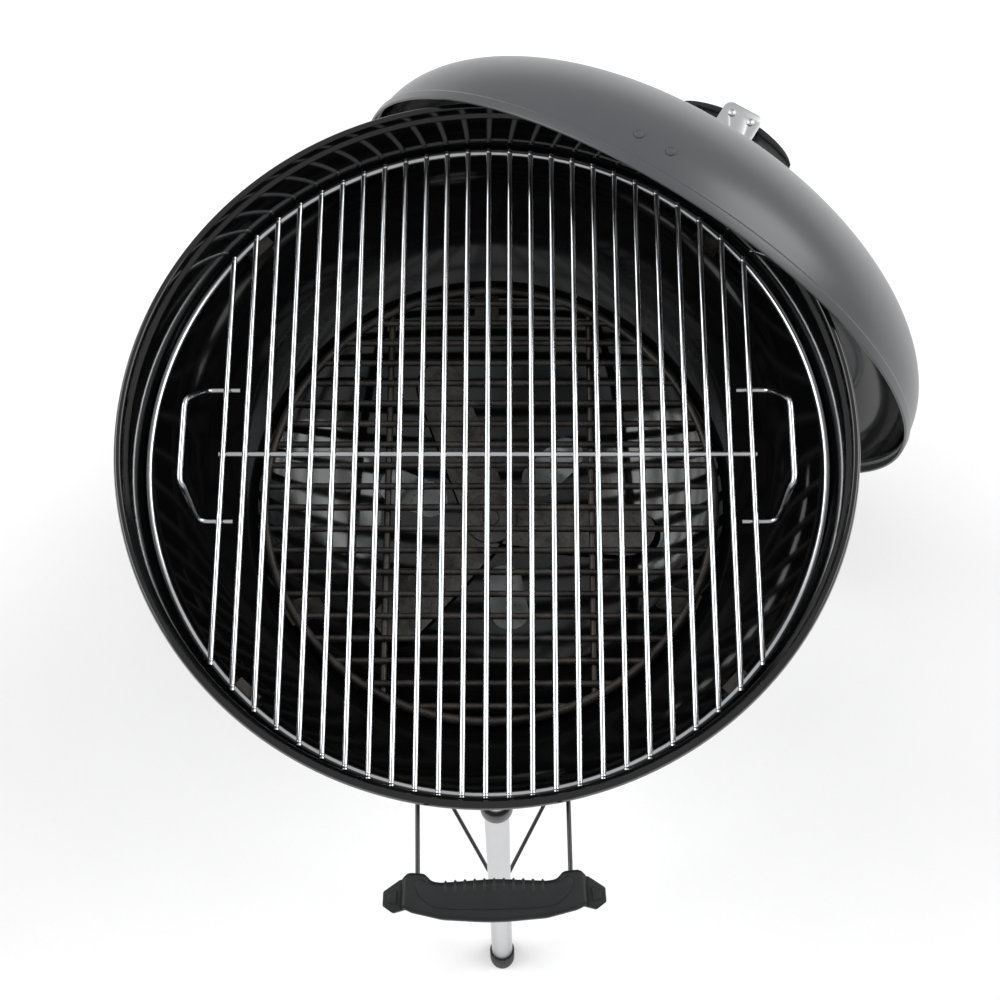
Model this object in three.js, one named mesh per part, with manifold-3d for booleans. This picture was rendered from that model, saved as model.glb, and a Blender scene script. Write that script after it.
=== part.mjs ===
// Kettle charcoal grill with its lid hung on the bowl's rim. Millimetres, +Z up, front handle at -Y.
// Everything is laid out round the bowl's axis with the rim plane at z = 0, then moved to stand on z = 0.
import * as THREE from "three";
import { mergeVertices } from "three/addons/utils/BufferGeometryUtils.js";
import Module from "manifold-3d";

const wasm = await Module();
wasm.setup();

// ---- driving dimensions ----
const GAP = 0.3; // between pieces that touch
const RIM_HEIGHT = 690; // rim above the floor
const ROUND = 48; // sides of the large round pieces
const TUBE_SIDES = 12; // sides of the legs and what clasps them

const BOWL = { rim: 287.5, seat: 281, inner: 278, wall: 2.2, straight: 40, depth: 212, hole: 9 };
const VENT = { from: 44, to: 108, width: 34, angles: [40, 160, 280] };

const GRATE = { radius: 272, wire: 3, rod: 2.5, pitch: 17.75, rods: 25, z: -57, turn: -1.2 };
const GRATE_HANDLE = { wire: 2.4, x: 203, foot: 28, feet: 56, top: 34, rise: 38 };
const COALS = { radius: 198, wire: 4, rod: 3, pitch: 19.5, rods: 20, z: -176 };
const BRACKET = { angles: [45, 135, 225, 315], reach: 15, width: 22, sheet: 2.4 };
const COAL_BRACKET = { angles: [90, 210, 330], reach: 15, width: 22, sheet: 2.4 };

const LEG = { outer: 11.5, inner: 9.9, startR: 205, startZ: -150, topZ: -176 };
const LEGS = {
  front: { angle: -90, splay: 18.5, bottomZ: -682 },
  right: { angle: 28, splay: 13.5, bottomZ: -646 },
  left: { angle: 152, splay: 13.5, bottomZ: -646 },
};
const SOCKET = { outer: 14, above: 20, length: 44 };
const FOOT = { outer: 13.6, frontHeight: 12, rearHeight: 10, rearEnd: -662 };
const WHEEL = { radius: 76, width: 38, hub: 15, x: 304, bore: 5.4 };
const AXLE_R = 5;
const HUB_CAP = { radius: 11, height: 7 };

const RACK = { z: -500, wire: 2, cross: 1.6, inset: 0.2, rows: 6, firstRow: 0.2 };
const COLLAR = { thick: 3.2, height: 16 }; // round a leg, on the rack and the ash pan's ring
const PAN = { rim: 152, wall: 138, floor: 112, sheet: 1.6, z: -332, depth: 42 };
const PAN_RING = { wire: 3, flat: 14, legZ: -300 };

const SWEEPER = { disc: 24, shaft: 6, bottom: -286, lift: 5.5, sheet: 2 };
const BLADE = { from: 14, to: 150, width: 44, angles: [-10, 110, 230] };
const LEVER = { angle: 200, reach: 262, width: 16, thick: 4, z: -280, hub: 15, tail: 20 };
const LEVER_GRIP = { length: 62, width: 24, thick: 13 };

const HANDLE = { z: -34, thick: 24, wireX: 55.5, wireY: -346, wire: 1.7, plate: 24, plateZ: 18 };

const LID = {
  lip: 289, lipHeight: 8, dome: 286.5, sheet: 2, depth: 150,
  angle: 56.7, out: 239, z: -212, tilt: 5,
};
const LID_GRIP = { half: 63, width: 24, thick: 8, top: 66, sag: 14 };
const LID_BRACKET = { width: 40, sheet: 2.2, height: 72, rivet: 10 };
const DAMPER = {
  radius: 38, hole: 9, ring: 21, holes: 4, latitude: 46, sheet: 1.6, stand: 0.6, dish: 620,
};
const HOOK = { width: 46, sheet: 2.4, seat: 208, from: 57.4, to: 68.6, rivetZ: 28, rivets: [-14, 14] };

// ---- materials ----
const paint = (name, color, metalness, roughness) =>
  Object.assign(new THREE.MeshStandardMaterial({ color, metalness, roughness }), { name });
const ENAMEL = paint("black_enamel", 0x121214, 0.1, 0.15);
const LID_ENAMEL = paint("smoke_enamel", 0x4c4d4f, 0.2, 0.2);
const PLATED = paint("plated_wire", 0xd2d4d6, 0.9, 0.25);
const DARK_STEEL = paint("dark_steel", 0x3a3a3c, 0.7, 0.5);
const ALUMINIUM = paint("aluminium", 0xc6c9cc, 0.9, 0.35);
const BLACK_WIRE = paint("black_wire", 0x17171a, 0.3, 0.4);
const NYLON = paint("black_nylon", 0x242527, 0.0, 0.6);
const RUBBER = paint("tread", 0x1b1b1c, 0.0, 0.9);
const STEEL = paint("zinc_steel", 0x9da0a3, 0.9, 0.4);

// ---- helpers ----
const rad = THREE.MathUtils.degToRad;
const V = (x, y, z) => new THREE.Vector3(x, y, z);
const polar = (r, angle, z) => V(r * Math.cos(rad(angle)), r * Math.sin(rad(angle)), z);
const grill = new THREE.Group();

function add(name, geometry, material, parent = grill) {
  const mesh = new THREE.Mesh(geometry, material);
  mesh.name = name;
  parent.add(mesh);
  return mesh;
}

function solid(geometry) {
  const bare = geometry.index ? geometry.toNonIndexed() : geometry.clone();
  for (const key of Object.keys(bare.attributes)) {
    if (key !== "position") bare.deleteAttribute(key);
  }
  const merged = mergeVertices(bare, 1e-4);
  return new wasm.Manifold(
    new wasm.Mesh({
      numProp: 3,
      vertProperties: new Float32Array(merged.attributes.position.array),
      triVerts: new Uint32Array(merged.index.array),
    }),
  );
}

function geometryOf(made) {
  const mesh = made.getMesh();
  return new THREE.BufferGeometry()
    .setAttribute("position", new THREE.BufferAttribute(new Float32Array(mesh.vertProperties), 3))
    .setIndex(new THREE.BufferAttribute(new Uint32Array(mesh.triVerts), 1));
}

const joined = (geometries) => geometryOf(geometries.map(solid).reduce((a, b) => a.add(b)));
const cut = (geometry, tools) =>
  geometryOf(tools.map(solid).reduce((a, b) => a.subtract(b), solid(geometry)));

// A turned piece about +Z from (radius, height) pairs, outer side listed upwards.
function turned(points, sides = ROUND) {
  const profile = points.map(([r, z]) => new THREE.Vector2(Math.max(r, 0), z));
  return new THREE.LatheGeometry(profile, sides).rotateX(Math.PI / 2);
}

// A round bar between two points.
function bar(from, to, radius, sides = 8) {
  const along = to.clone().sub(from);
  const made = new THREE.CylinderGeometry(radius, radius, along.length(), sides);
  made.applyQuaternion(
    new THREE.Quaternion().setFromUnitVectors(V(0, 1, 0), along.clone().normalize()),
  );
  return made.translate(...from.clone().add(to).multiplyScalar(0.5).toArray());
}

// A tube between two points, open at both ends.
function tube(from, to, outer, inner) {
  const bore = bar(stretch(to, from, 2), stretch(from, to, 2), inner, TUBE_SIDES);
  return cut(bar(from, to, outer, TUBE_SIDES), [bore]);
}

// The point a little beyond "to" on the line from "from".
function stretch(from, to, by) {
  return to.clone().add(to.clone().sub(from).normalize().multiplyScalar(by));
}

// A bent wire through points.
function wire(points, radius, steps, sides = 8) {
  const section = new THREE.Shape();
  for (let i = 0; i < sides; i++) {
    const turn = (2 * Math.PI * i) / sides;
    const [x, y] = [radius * Math.cos(turn), radius * Math.sin(turn)];
    if (i) section.lineTo(x, y);
    else section.moveTo(x, y);
  }
  const path = new THREE.CatmullRomCurve3(points, false, "centripetal");
  return new THREE.ExtrudeGeometry(section, { steps, bevelEnabled: false, extrudePath: path });
}

const ring = (radius, wireRadius, z, around = ROUND, sides = 6) =>
  new THREE.TorusGeometry(radius, wireRadius, sides, around).translate(0, 0, z);

// A flat outline in x and y, raised between two heights.
function plate(outline, low, high) {
  const shape = new THREE.Shape(outline.map(([x, y]) => new THREE.Vector2(x, y)));
  return new THREE.ExtrudeGeometry(shape, { depth: high - low, bevelEnabled: false }).translate(0, 0, low);
}

const block = (sx, sy, sz, x, y, z) => new THREE.BoxGeometry(sx, sy, sz).translate(x, y, z);
const turnedBy = (geometry, angle) => geometry.rotateZ(rad(angle));

// ---- bowl ----
const bowlZ = (r, offset = 0) => {
  const share = Math.min(r / (BOWL.inner + offset), 1);
  return -BOWL.straight - (BOWL.depth + offset) * Math.sqrt(1 - share * share);
};

// Points down the bowl's side, closer together near the rim, where the grate rests.
function bowlSide(offset, count = 6) {
  const most = Math.acos(BOWL.hole / (BOWL.inner + offset));
  return Array.from({ length: count + 1 }, (_, i) => {
    const turn = most * (i / count) ** 1.25;
    const r = (BOWL.inner + offset) * Math.cos(turn);
    return [r, -BOWL.straight - (BOWL.depth + offset) * Math.sin(turn)];
  });
}

const rimSection = [
  [BOWL.inner + BOWL.wall, -13],
  [BOWL.rim - 1, -8.5],
  [BOWL.rim, -4.5],
  [BOWL.rim - 2, 0],
  [BOWL.seat, 0],
  [BOWL.seat, -8.5],
  [BOWL.inner, -10.5],
];
const bowlProfile = [
  ...bowlSide(BOWL.wall).reverse(),
  ...rimSection,
  ...bowlSide(0),
];
bowlProfile.push(bowlProfile[0]);

// The bowl's wall grown inwards by the gap and well outwards, to shape what sits against its inside.
const skinProfile = [...bowlSide(BOWL.wall + 8).reverse(), ...bowlSide(-GAP)];
skinProfile.push(skinProfile[0]);
const bowlSkin = turned(skinProfile);

function ventTool(angle) {
  const [low, high] = [-270, -210];
  const half = VENT.width / 2;
  const middle = (VENT.from + VENT.to) / 2;
  const slot = block(VENT.to - VENT.from - VENT.width, VENT.width, high - low, middle, 0, (low + high) / 2);
  const ends = [VENT.from + half, VENT.to - half].map((x) => bar(V(x, 0, low), V(x, 0, high), half, 16));
  return turnedBy(joined([slot, ...ends]), angle);
}
add("bowl", cut(turned(bowlProfile), VENT.angles.map(ventTool)), ENAMEL);

// ---- shelves inside the bowl that carry the two grates ----
// An angle bracket: a shelf just under the grate's ring and a flange down the wall, stood off by the gap.
function shelf(spec, topZ, angle) {
  const low = topZ - 22;
  const face = (z) => innerRadius(z) - spec.sheet - 4;
  const outline = [
    [innerRadius(topZ) - spec.reach, topZ],
    [innerRadius(topZ) - spec.reach, topZ - spec.sheet],
    [face(topZ - spec.sheet), topZ - spec.sheet],
    [face(low), low],
    [innerRadius(low) + 1, low],
    [innerRadius(topZ) + 1, topZ],
  ];
  const section = new THREE.Shape(outline.map(([r, z]) => new THREE.Vector2(r, z)));
  const made = new THREE.ExtrudeGeometry(section, { depth: spec.width, bevelEnabled: false });
  made.translate(0, 0, -spec.width / 2).rotateX(Math.PI / 2);
  return cut(turnedBy(made, angle), [bowlSkin]);
}

function innerRadius(z) {
  const down = Math.max(-z - BOWL.straight, 0) / BOWL.depth;
  return BOWL.inner * Math.sqrt(Math.max(1 - down * down, 0));
}

BRACKET.angles.forEach((angle, i) => {
  add("grate_bracket_" + (i + 1), shelf(BRACKET, GRATE.z - GRATE.wire - GAP, angle), DARK_STEEL);
});
COAL_BRACKET.angles.forEach((angle, i) => {
  add("coal_bracket_" + (i + 1), shelf(COAL_BRACKET, COALS.z - COALS.wire - GAP, angle), DARK_STEEL);
});

// ---- grates ----
// Parallel rods inside a ring, each ending in the ring's middle line, with cross bars underneath.
function grate(spec, crossBars, crossRadius, along) {
  const pieces = [ring(spec.radius, spec.wire, spec.z)];
  for (let i = 0; i < spec.rods; i++) {
    const across = (i - (spec.rods - 1) / 2) * spec.pitch;
    const half = Math.sqrt(spec.radius ** 2 - across ** 2);
    pieces.push(bar(V(across, -half, spec.z), V(across, half, spec.z), spec.rod, 5));
  }
  for (const y of crossBars) {
    const lastRod = ((spec.rods - 1) / 2) * spec.pitch + crossRadius;
    const half = Math.min(lastRod, Math.sqrt(spec.radius ** 2 - y ** 2));
    const z = spec.z - spec.rod - crossRadius * 0.6;
    pieces.push(bar(V(-half, y, z), V(half, y, z), crossRadius, 5));
  }
  return turnedBy(joined(pieces), along);
}

function grateHandle(side) {
  const z = GRATE.z - GRATE.rod - GRATE_HANDLE.wire - GAP;
  const h = GRATE_HANDLE;
  const bend = h.x + h.foot;
  const points = [
    V(h.x, -h.feet, z),
    V(bend, -h.feet, z),
    V(bend + 3, -h.feet + 1, z + 4),
    V(bend + 6, -h.top - 5, z + h.rise - 5),
    V(bend + 8, -h.top + 3, z + h.rise),
    V(bend + 8, h.top - 3, z + h.rise),
    V(bend + 6, h.top + 5, z + h.rise - 5),
    V(bend + 3, h.feet - 1, z + 4),
    V(bend, h.feet, z),
    V(h.x, h.feet, z),
  ];
  const made = wire(points, h.wire, 22, 6);
  return turnedBy(made, (side > 0 ? 0 : 180) + GRATE.turn);
}

add("cooking_grate", grate(GRATE, [0], 2.5, GRATE.turn), PLATED);
add("grate_handle_right", grateHandle(1), PLATED);
add("grate_handle_left", grateHandle(-1), PLATED);
add("charcoal_grate", grate(COALS, [-90, 90], 3, 90 + GRATE.turn), DARK_STEEL);

// ---- ash sweeper: a shaft through the bowl with three blades inside and a lever outside ----
function bladeGeometry(angle) {
  const count = 7;
  const under = [];
  const over = [];
  for (let i = 0; i <= count; i++) {
    const r = BLADE.from + ((BLADE.to - BLADE.from) * i) / count;
    under.push([r, bowlZ(r) + SWEEPER.lift]);
    over.push([r, bowlZ(r) + SWEEPER.lift + SWEEPER.sheet]);
  }
  const shape = new THREE.Shape([...under, ...over.reverse()].map(([r, z]) => new THREE.Vector2(r, z)));
  const made = new THREE.ExtrudeGeometry(shape, { depth: BLADE.width, bevelEnabled: false });
  return turnedBy(made.translate(0, 0, -BLADE.width / 2).rotateX(Math.PI / 2), angle);
}

const hubUnder = bowlZ(BLADE.from + 12) + SWEEPER.lift + SWEEPER.sheet + GAP;
add("sweeper_shaft", turned([
  [0, SWEEPER.bottom],
  [SWEEPER.shaft, SWEEPER.bottom],
  [SWEEPER.shaft, hubUnder],
  [SWEEPER.disc, hubUnder],
  [SWEEPER.disc, hubUnder + 2],
  [0, hubUnder + 4],
], 24), ALUMINIUM);
BLADE.angles.forEach((angle, i) => add("blade_" + (i + 1), bladeGeometry(angle), ALUMINIUM));

const leverEnd = LEVER.reach - LEVER.tail;
const leverBar = joined([
  block(leverEnd, LEVER.width, LEVER.thick, leverEnd / 2, 0, LEVER.z),
  bar(V(0, 0, LEVER.z - LEVER.thick / 2), V(0, 0, LEVER.z + LEVER.thick / 2 + 8), LEVER.hub, 20),
]);
const leverBore = bar(V(0, 0, LEVER.z - 20), V(0, 0, LEVER.z + 20), SWEEPER.shaft + GAP, 24);
add("lever", turnedBy(cut(leverBar, [leverBore]), LEVER.angle), ALUMINIUM);

const gripStart = LEVER.reach - LEVER_GRIP.length;
const gripOutline = [
  [gripStart, -9], [gripStart + 12, -LEVER_GRIP.width / 2], [LEVER.reach - 10, -LEVER_GRIP.width / 2],
  [LEVER.reach, -6], [LEVER.reach, 6], [LEVER.reach - 10, LEVER_GRIP.width / 2],
  [gripStart + 12, LEVER_GRIP.width / 2], [gripStart, 9],
];
const gripBody = plate(gripOutline, LEVER.z - LEVER_GRIP.thick / 2, LEVER.z + LEVER_GRIP.thick / 2);
const pocketLength = 100;
const gripPocket = block(
  pocketLength,
  LEVER.width + 2 * GAP,
  LEVER.thick + 2 * GAP,
  leverEnd + GAP - pocketLength / 2,
  0,
  LEVER.z,
);
add("lever_grip", turnedBy(cut(gripBody, [gripPocket]), LEVER.angle), NYLON);

// ---- legs, sockets and feet ----
const legPoint = (leg, z) =>
  polar(LEG.startR + (LEG.startZ - z) * Math.tan(rad(leg.splay)), leg.angle, z);

// The bowl and its hollow as one solid, grown by the gap.
const bowlOutside = turned([
  [0, bowlZ(0, BOWL.wall + GAP)],
  ...bowlSide(BOWL.wall + GAP).reverse(),
  [BOWL.inner + BOWL.wall + GAP, 0],
  [0, 0],
]);

const axleZ = WHEEL.radius - RIM_HEIGHT;
const axleY = legPoint(LEGS.right, axleZ).y;
const axleHole = bar(V(-400, axleY, axleZ), V(400, axleY, axleZ), AXLE_R + GAP, 16);

for (const [side, leg] of Object.entries(LEGS)) {
  const top = legPoint(leg, LEG.topZ);
  const bottom = legPoint(leg, leg.bottomZ);
  const made = tube(top, bottom, LEG.outer, LEG.inner);
  const trimmed = cut(made, side === "front" ? [bowlOutside] : [bowlOutside, axleHole]);
  add("leg_" + side, trimmed, ALUMINIUM);
  const collarTop = legPoint(leg, LEG.topZ + SOCKET.above);
  const collarEnd = legPoint(leg, LEG.topZ - SOCKET.length);
  const socketBore = bar(
    stretch(collarEnd, collarTop, 30),
    stretch(collarTop, collarEnd, 2),
    LEG.outer + GAP,
    TUBE_SIDES,
  );
  const socket = cut(bar(collarTop, collarEnd, SOCKET.outer, TUBE_SIDES), [socketBore, bowlOutside]);
  add("leg_socket_" + side, socket, ENAMEL);
}

// A cup over the end of a leg, flat on its underside.
function footCup(leg, floorZ, height) {
  const end = legPoint(leg, leg.bottomZ);
  const up = legPoint(leg, leg.bottomZ + height);
  const low = legPoint(leg, floorZ - 12);
  return cut(bar(up, low, FOOT.outer, TUBE_SIDES), [
    bar(stretch(end, up, 4), legPoint(leg, leg.bottomZ - GAP), LEG.outer + GAP, TUBE_SIDES),
    block(400, 400, 60, end.x, end.y, floorZ - 30),
  ]);
}
add("foot_front", footCup(LEGS.front, -RIM_HEIGHT, FOOT.frontHeight), RUBBER);
add("foot_right", footCup(LEGS.right, FOOT.rearEnd, FOOT.rearHeight), RUBBER);
add("foot_left", footCup(LEGS.left, FOOT.rearEnd, FOOT.rearHeight), RUBBER);

// ---- wheels on their axle ----
const axleHalf = WHEEL.x + WHEEL.width + 5;
add("axle", bar(V(-axleHalf, axleY, axleZ), V(axleHalf, axleY, axleZ), AXLE_R, 16), STEEL);
const wheelProfile = [
  [WHEEL.bore, 0], [WHEEL.hub, 0], [WHEEL.hub, 10], [58, 13], [62, 2], [70, 0], [WHEEL.radius, 5],
  [WHEEL.radius, WHEEL.width - 5], [70, WHEEL.width], [62, WHEEL.width - 2], [58, WHEEL.width - 13],
  [WHEEL.hub, WHEEL.width - 10], [WHEEL.hub, WHEEL.width], [WHEEL.bore, WHEEL.width], [WHEEL.bore, 0],
];
for (const [side, sign] of [["right", 1], ["left", -1]]) {
  const at = (x) => V(sign * x, axleY, axleZ);
  const wheel = turned(wheelProfile, 24).rotateY((sign * Math.PI) / 2);
  add("wheel_" + side, wheel.translate(...at(WHEEL.x).toArray()), NYLON);
  const outer = WHEEL.x + WHEEL.width + 1;
  const cap = cut(bar(at(outer), at(outer + HUB_CAP.height), HUB_CAP.radius, 20), [
    bar(at(outer - 1), at(axleHalf + GAP), AXLE_R + GAP, 16),
  ]);
  add("hub_cap_" + side, cap, ALUMINIUM);
}

// ---- wire rack between the legs ----
// A collar round a leg, clear of it by the gap.
function collar(leg, z) {
  const high = legPoint(leg, z + COLLAR.height / 2);
  const low = legPoint(leg, z - COLLAR.height / 2);
  return tube(high, low, LEG.outer + GAP + COLLAR.thick, LEG.outer + GAP);
}

const legList = [LEGS.front, LEGS.right, LEGS.left];
const legHole = (leg) => bar(legPoint(leg, -150), legPoint(leg, -690), LEG.outer + GAP, TUBE_SIDES);

function rackGeometry() {
  const corner = legList.map((leg) => legPoint(leg, RACK.z));
  const centre = corner.reduce((a, b) => a.clone().add(b)).multiplyScalar(1 / 3);
  const inner = corner.map((p) => p.clone().lerp(centre, RACK.inset));
  const pieces = legList.map((leg) => collar(leg, RACK.z));
  for (let i = 0; i < 3; i++) {
    const j = (i + 1) % 3;
    pieces.push(bar(corner[i], corner[j], RACK.wire, 6));
    pieces.push(bar(inner[i], inner[j], RACK.cross, 5));
    pieces.push(bar(corner[i], inner[i], RACK.wire, 6));
  }
  for (let i = 1; i <= RACK.rows; i++) {
    const share = RACK.firstRow + ((1 - RACK.firstRow) * i) / (RACK.rows + 1);
    const right = corner[0].clone().lerp(corner[1], share);
    const left = corner[0].clone().lerp(corner[2], share);
    pieces.push(bar(left, right, RACK.cross, 5));
  }
  return cut(joined(pieces), legList.map(legHole));
}
add("wire_rack", rackGeometry(), BLACK_WIRE);

// ---- ash pan in a wire ring held by the legs ----
const panRingZ = PAN.z - PAN.sheet - PAN_RING.wire - GAP;
const panRingR = PAN.wall + PAN.sheet + PAN_RING.wire + 1;
function panHolder() {
  const pieces = [ring(panRingR, PAN_RING.wire, panRingZ, 30)];
  for (const leg of legList) {
    const elbow = polar(panRingR + PAN_RING.flat, leg.angle, panRingZ);
    const atLeg = legPoint(leg, PAN_RING.legZ);
    pieces.push(collar(leg, PAN_RING.legZ));
    pieces.push(bar(polar(panRingR, leg.angle, panRingZ), elbow, PAN_RING.wire, 6));
    pieces.push(bar(stretch(atLeg, elbow, 1), atLeg, PAN_RING.wire, 6));
  }
  return cut(joined(pieces), legList.map(legHole));
}
add("ash_pan_holder", panHolder(), BLACK_WIRE);
add("ash_pan", turned([
  [0, PAN.z - PAN.depth - PAN.sheet],
  [PAN.floor, PAN.z - PAN.depth - PAN.sheet],
  [PAN.wall - 6, PAN.z - PAN.depth + 12],
  [PAN.wall, PAN.z - PAN.sheet],
  [PAN.rim, PAN.z - PAN.sheet],
  [PAN.rim, PAN.z + 1.5],
  [PAN.rim - PAN.sheet, PAN.z + 1.5],
  [PAN.rim - PAN.sheet, PAN.z],
  [PAN.wall - PAN.sheet, PAN.z],
  [PAN.wall - 6 - PAN.sheet, PAN.z - PAN.depth + 12],
  [PAN.floor - 1, PAN.z - PAN.depth],
  [0, PAN.z - PAN.depth],
], 30), ALUMINIUM);

// ---- front handle: a bent wire on two plates, clasped by two shells with tool hooks at the ends ----
function handleWire(radius) {
  const { wireX: x, wireY: y, z } = HANDLE;
  const wall = -Math.sqrt((BOWL.inner + BOWL.wall + GAP + 3) ** 2 - x ** 2);
  return [
    bar(V(-x, wall, z), V(-x, y, z), radius, 10),
    bar(V(x, wall, z), V(x, y, z), radius, 10),
    bar(V(-x - radius, y, z), V(x + radius, y, z), radius, 10),
  ];
}

function handlePlate(sign) {
  const angle = -90 + sign * THREE.MathUtils.radToDeg(Math.asin(HANDLE.wireX / (BOWL.inner + BOWL.wall)));
  const made = block(3, HANDLE.plate, HANDLE.plateZ, BOWL.inner + BOWL.wall + GAP + 2, 0, HANDLE.z);
  return turnedBy(made, angle);
}
add("handle_wire", joined([...handleWire(HANDLE.wire), handlePlate(1), handlePlate(-1)]), BLACK_WIRE);

const halfOutline = [
  [0, -335], [44, -335], [49, -329], [62, -328], [66, -333], [80, -342],
  [80.5, -352], [74, -357], [64, -354.5], [40, -361.5], [0, -364.5],
];
const mirrored = halfOutline.slice(1, -1).reverse().map(([x, y]) => [-x, y]);
const outline = [...halfOutline, ...mirrored].reverse();
const groove = handleWire(HANDLE.wire + GAP);
const halfThick = HANDLE.thick / 2;
add("handle_grip_upper", cut(plate(outline, HANDLE.z + GAP / 2, HANDLE.z + halfThick), groove), NYLON);
add("handle_grip_lower", cut(plate(outline, HANDLE.z - halfThick, HANDLE.z - GAP / 2), groove), NYLON);

// ---- lid, built with its apex on +Z and its hook towards +Y, then hung on the rim ----
const lid = new THREE.Group();
const domeTop = LID.depth;
const domePoint = (share, offset) => {
  const turn = (Math.PI / 2) * share;
  const base = LID.lipHeight + 1.5;
  return [(LID.dome + offset) * Math.cos(turn), base + (domeTop - base + offset) * Math.sin(turn)];
};
const domeSide = (offset, count = 7) =>
  Array.from({ length: count + 1 }, (_, i) => domePoint(i / count, offset));
const lidProfile = [
  ...domeSide(-LID.sheet).reverse(),
  [LID.lip - LID.sheet - 0.4, LID.lipHeight - 1],
  [LID.lip - LID.sheet - 0.4, 0],
  [LID.lip, 0],
  [LID.lip, LID.lipHeight],
  ...domeSide(0),
];

// Grown inwards by the gap and well outwards, to shape what sits against the lid's inside.
const lidSkinProfile = [...domeSide(-LID.sheet - GAP).reverse(), ...domeSide(12)];
const lidSkin = turned(lidSkinProfile);

// A frame on the dome's lower half: +Z along the dome's normal.
const damperTurn = rad(DAMPER.latitude);
const damperAt = V(
  0,
  -LID.dome * Math.cos(damperTurn),
  LID.lipHeight + 1.5 + (domeTop - LID.lipHeight - 1.5) * Math.sin(damperTurn),
);
const damperNormal = V(
  0,
  -Math.cos(damperTurn) / LID.dome,
  Math.sin(damperTurn) / (domeTop - LID.lipHeight - 1.5),
).normalize();
const damperFrame = new THREE.Matrix4()
  .makeRotationFromQuaternion(new THREE.Quaternion().setFromUnitVectors(V(0, 0, 1), damperNormal))
  .setPosition(damperAt);
const onDome = (geometry) => geometry.applyMatrix4(damperFrame);

function damperHoles(shift) {
  return Array.from({ length: DAMPER.holes }, (_, i) => {
    const at = polar(DAMPER.ring, (360 * i) / DAMPER.holes + shift, 0);
    return bar(V(at.x, at.y, -12), V(at.x, at.y, 12), DAMPER.hole, 10);
  });
}
const damperBore = () => bar(V(0, 0, -12), V(0, 0, 12), 2.8, 10);
const lidHoles = [...damperHoles(45), damperBore()].map(onDome);
const bracketBore = bar(V(0, 0, domeTop - 12), V(0, 0, domeTop + 12), 3.3, 12);
const rivetBore = (x) => bar(V(x, 240, HOOK.rivetZ), V(x, 320, HOOK.rivetZ), 2.2 + GAP, 10);
const rivetBores = HOOK.rivets.map(rivetBore);
add("lid", cut(turned(lidProfile), [...lidHoles, bracketBore, ...rivetBores]), LID_ENAMEL, lid);

const sagTo = (r) => (r * r) / DAMPER.dish;
const damperDisc = turned([
  [0, DAMPER.stand],
  [DAMPER.radius * 0.55, DAMPER.stand - sagTo(DAMPER.radius * 0.55)],
  [DAMPER.radius, DAMPER.stand - sagTo(DAMPER.radius)],
  [DAMPER.radius, DAMPER.stand + DAMPER.sheet - sagTo(DAMPER.radius)],
  [DAMPER.radius * 0.55, DAMPER.stand + DAMPER.sheet - sagTo(DAMPER.radius * 0.55)],
  [0, DAMPER.stand + DAMPER.sheet],
], 20);
const damperTab = block(14, 16, DAMPER.sheet, 0, DAMPER.radius + 4, DAMPER.stand - 1.2 + DAMPER.sheet / 2);
const damperLip = block(14, DAMPER.sheet, 12, 0, DAMPER.radius + 11, DAMPER.stand + 4.8);
const damper = cut(joined([damperDisc, damperTab, damperLip]), [...damperHoles(45), damperBore()]);
add("damper", onDome(damper), ALUMINIUM, lid);
const damperTop = DAMPER.stand + DAMPER.sheet;
const damperRivet = turned([
  [0, -6.2], [6, -6.2], [6, -4.4], [2.4, -4.4], [2.4, damperTop + GAP],
  [6, damperTop + GAP], [5, damperTop + 2], [0, damperTop + 3],
], 16);
add("damper_rivet", onDome(damperRivet), ALUMINIUM, lid);

// Lid handle: an arched grip between the cheeks of a folded bracket bolted on the apex.
const gripTop = (x) => domeTop + LID_GRIP.top - LID_GRIP.sag * (x / LID_GRIP.half) ** 2;
const gripThick = (x) => LID_GRIP.thick * (1 - 0.35 * Math.abs(x / LID_GRIP.half) ** 3);
const gripXs = Array.from({ length: 13 }, (_, i) => LID_GRIP.half * (i / 6 - 1));
const gripShape = new THREE.Shape([
  ...gripXs.map((x) => new THREE.Vector2(x, gripTop(x) - gripThick(x))),
  ...gripXs.slice().reverse().map((x) => new THREE.Vector2(x * 0.97, gripTop(x))),
]);
const gripBodyLid = new THREE.ExtrudeGeometry(gripShape, { depth: LID_GRIP.width, bevelEnabled: false });
gripBodyLid.rotateX(Math.PI / 2).translate(0, LID_GRIP.width / 2, 0);
const rivetZ = domeTop + LID_GRIP.top - LID_GRIP.thick / 2;
const rivetBar = (x, half, radius) => bar(V(x, -half, rivetZ), V(x, half, rivetZ), radius, 12);
const rivetXs = [-LID_BRACKET.rivet, LID_BRACKET.rivet];
add("lid_grip", cut(gripBodyLid, rivetXs.map((x) => rivetBar(x, 40, 2.2 + GAP))), NYLON, lid);

const cheek = LID_GRIP.width / 2 + GAP;
const base = domeTop + 1.2;
const [cheekX, cheekTop, cheekCorner] = [LID_BRACKET.width / 2, domeTop + LID_BRACKET.height, 7];
const cheekOutline = [
  [-cheekX, base], [cheekX, base],
  [cheekX, cheekTop - cheekCorner], [cheekX - cheekCorner, cheekTop],
  [cheekCorner - cheekX, cheekTop], [-cheekX, cheekTop - cheekCorner],
];
function cheekPlate(side) {
  const made = plate(cheekOutline, 0, LID_BRACKET.sheet).rotateX(Math.PI / 2);
  return made.translate(0, side > 0 ? cheek + LID_BRACKET.sheet : -cheek, 0);
}
const bracketBase = block(
  LID_BRACKET.width,
  2 * (cheek + LID_BRACKET.sheet),
  LID_BRACKET.sheet,
  0,
  0,
  base + LID_BRACKET.sheet / 2,
);
const bracketBody = cut(joined([cheekPlate(1), cheekPlate(-1), bracketBase]), [
  ...rivetXs.map((x) => rivetBar(x, 40, 2.2 + GAP)),
  bracketBore,
]);
add("lid_bracket", bracketBody, ALUMINIUM, lid);
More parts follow.
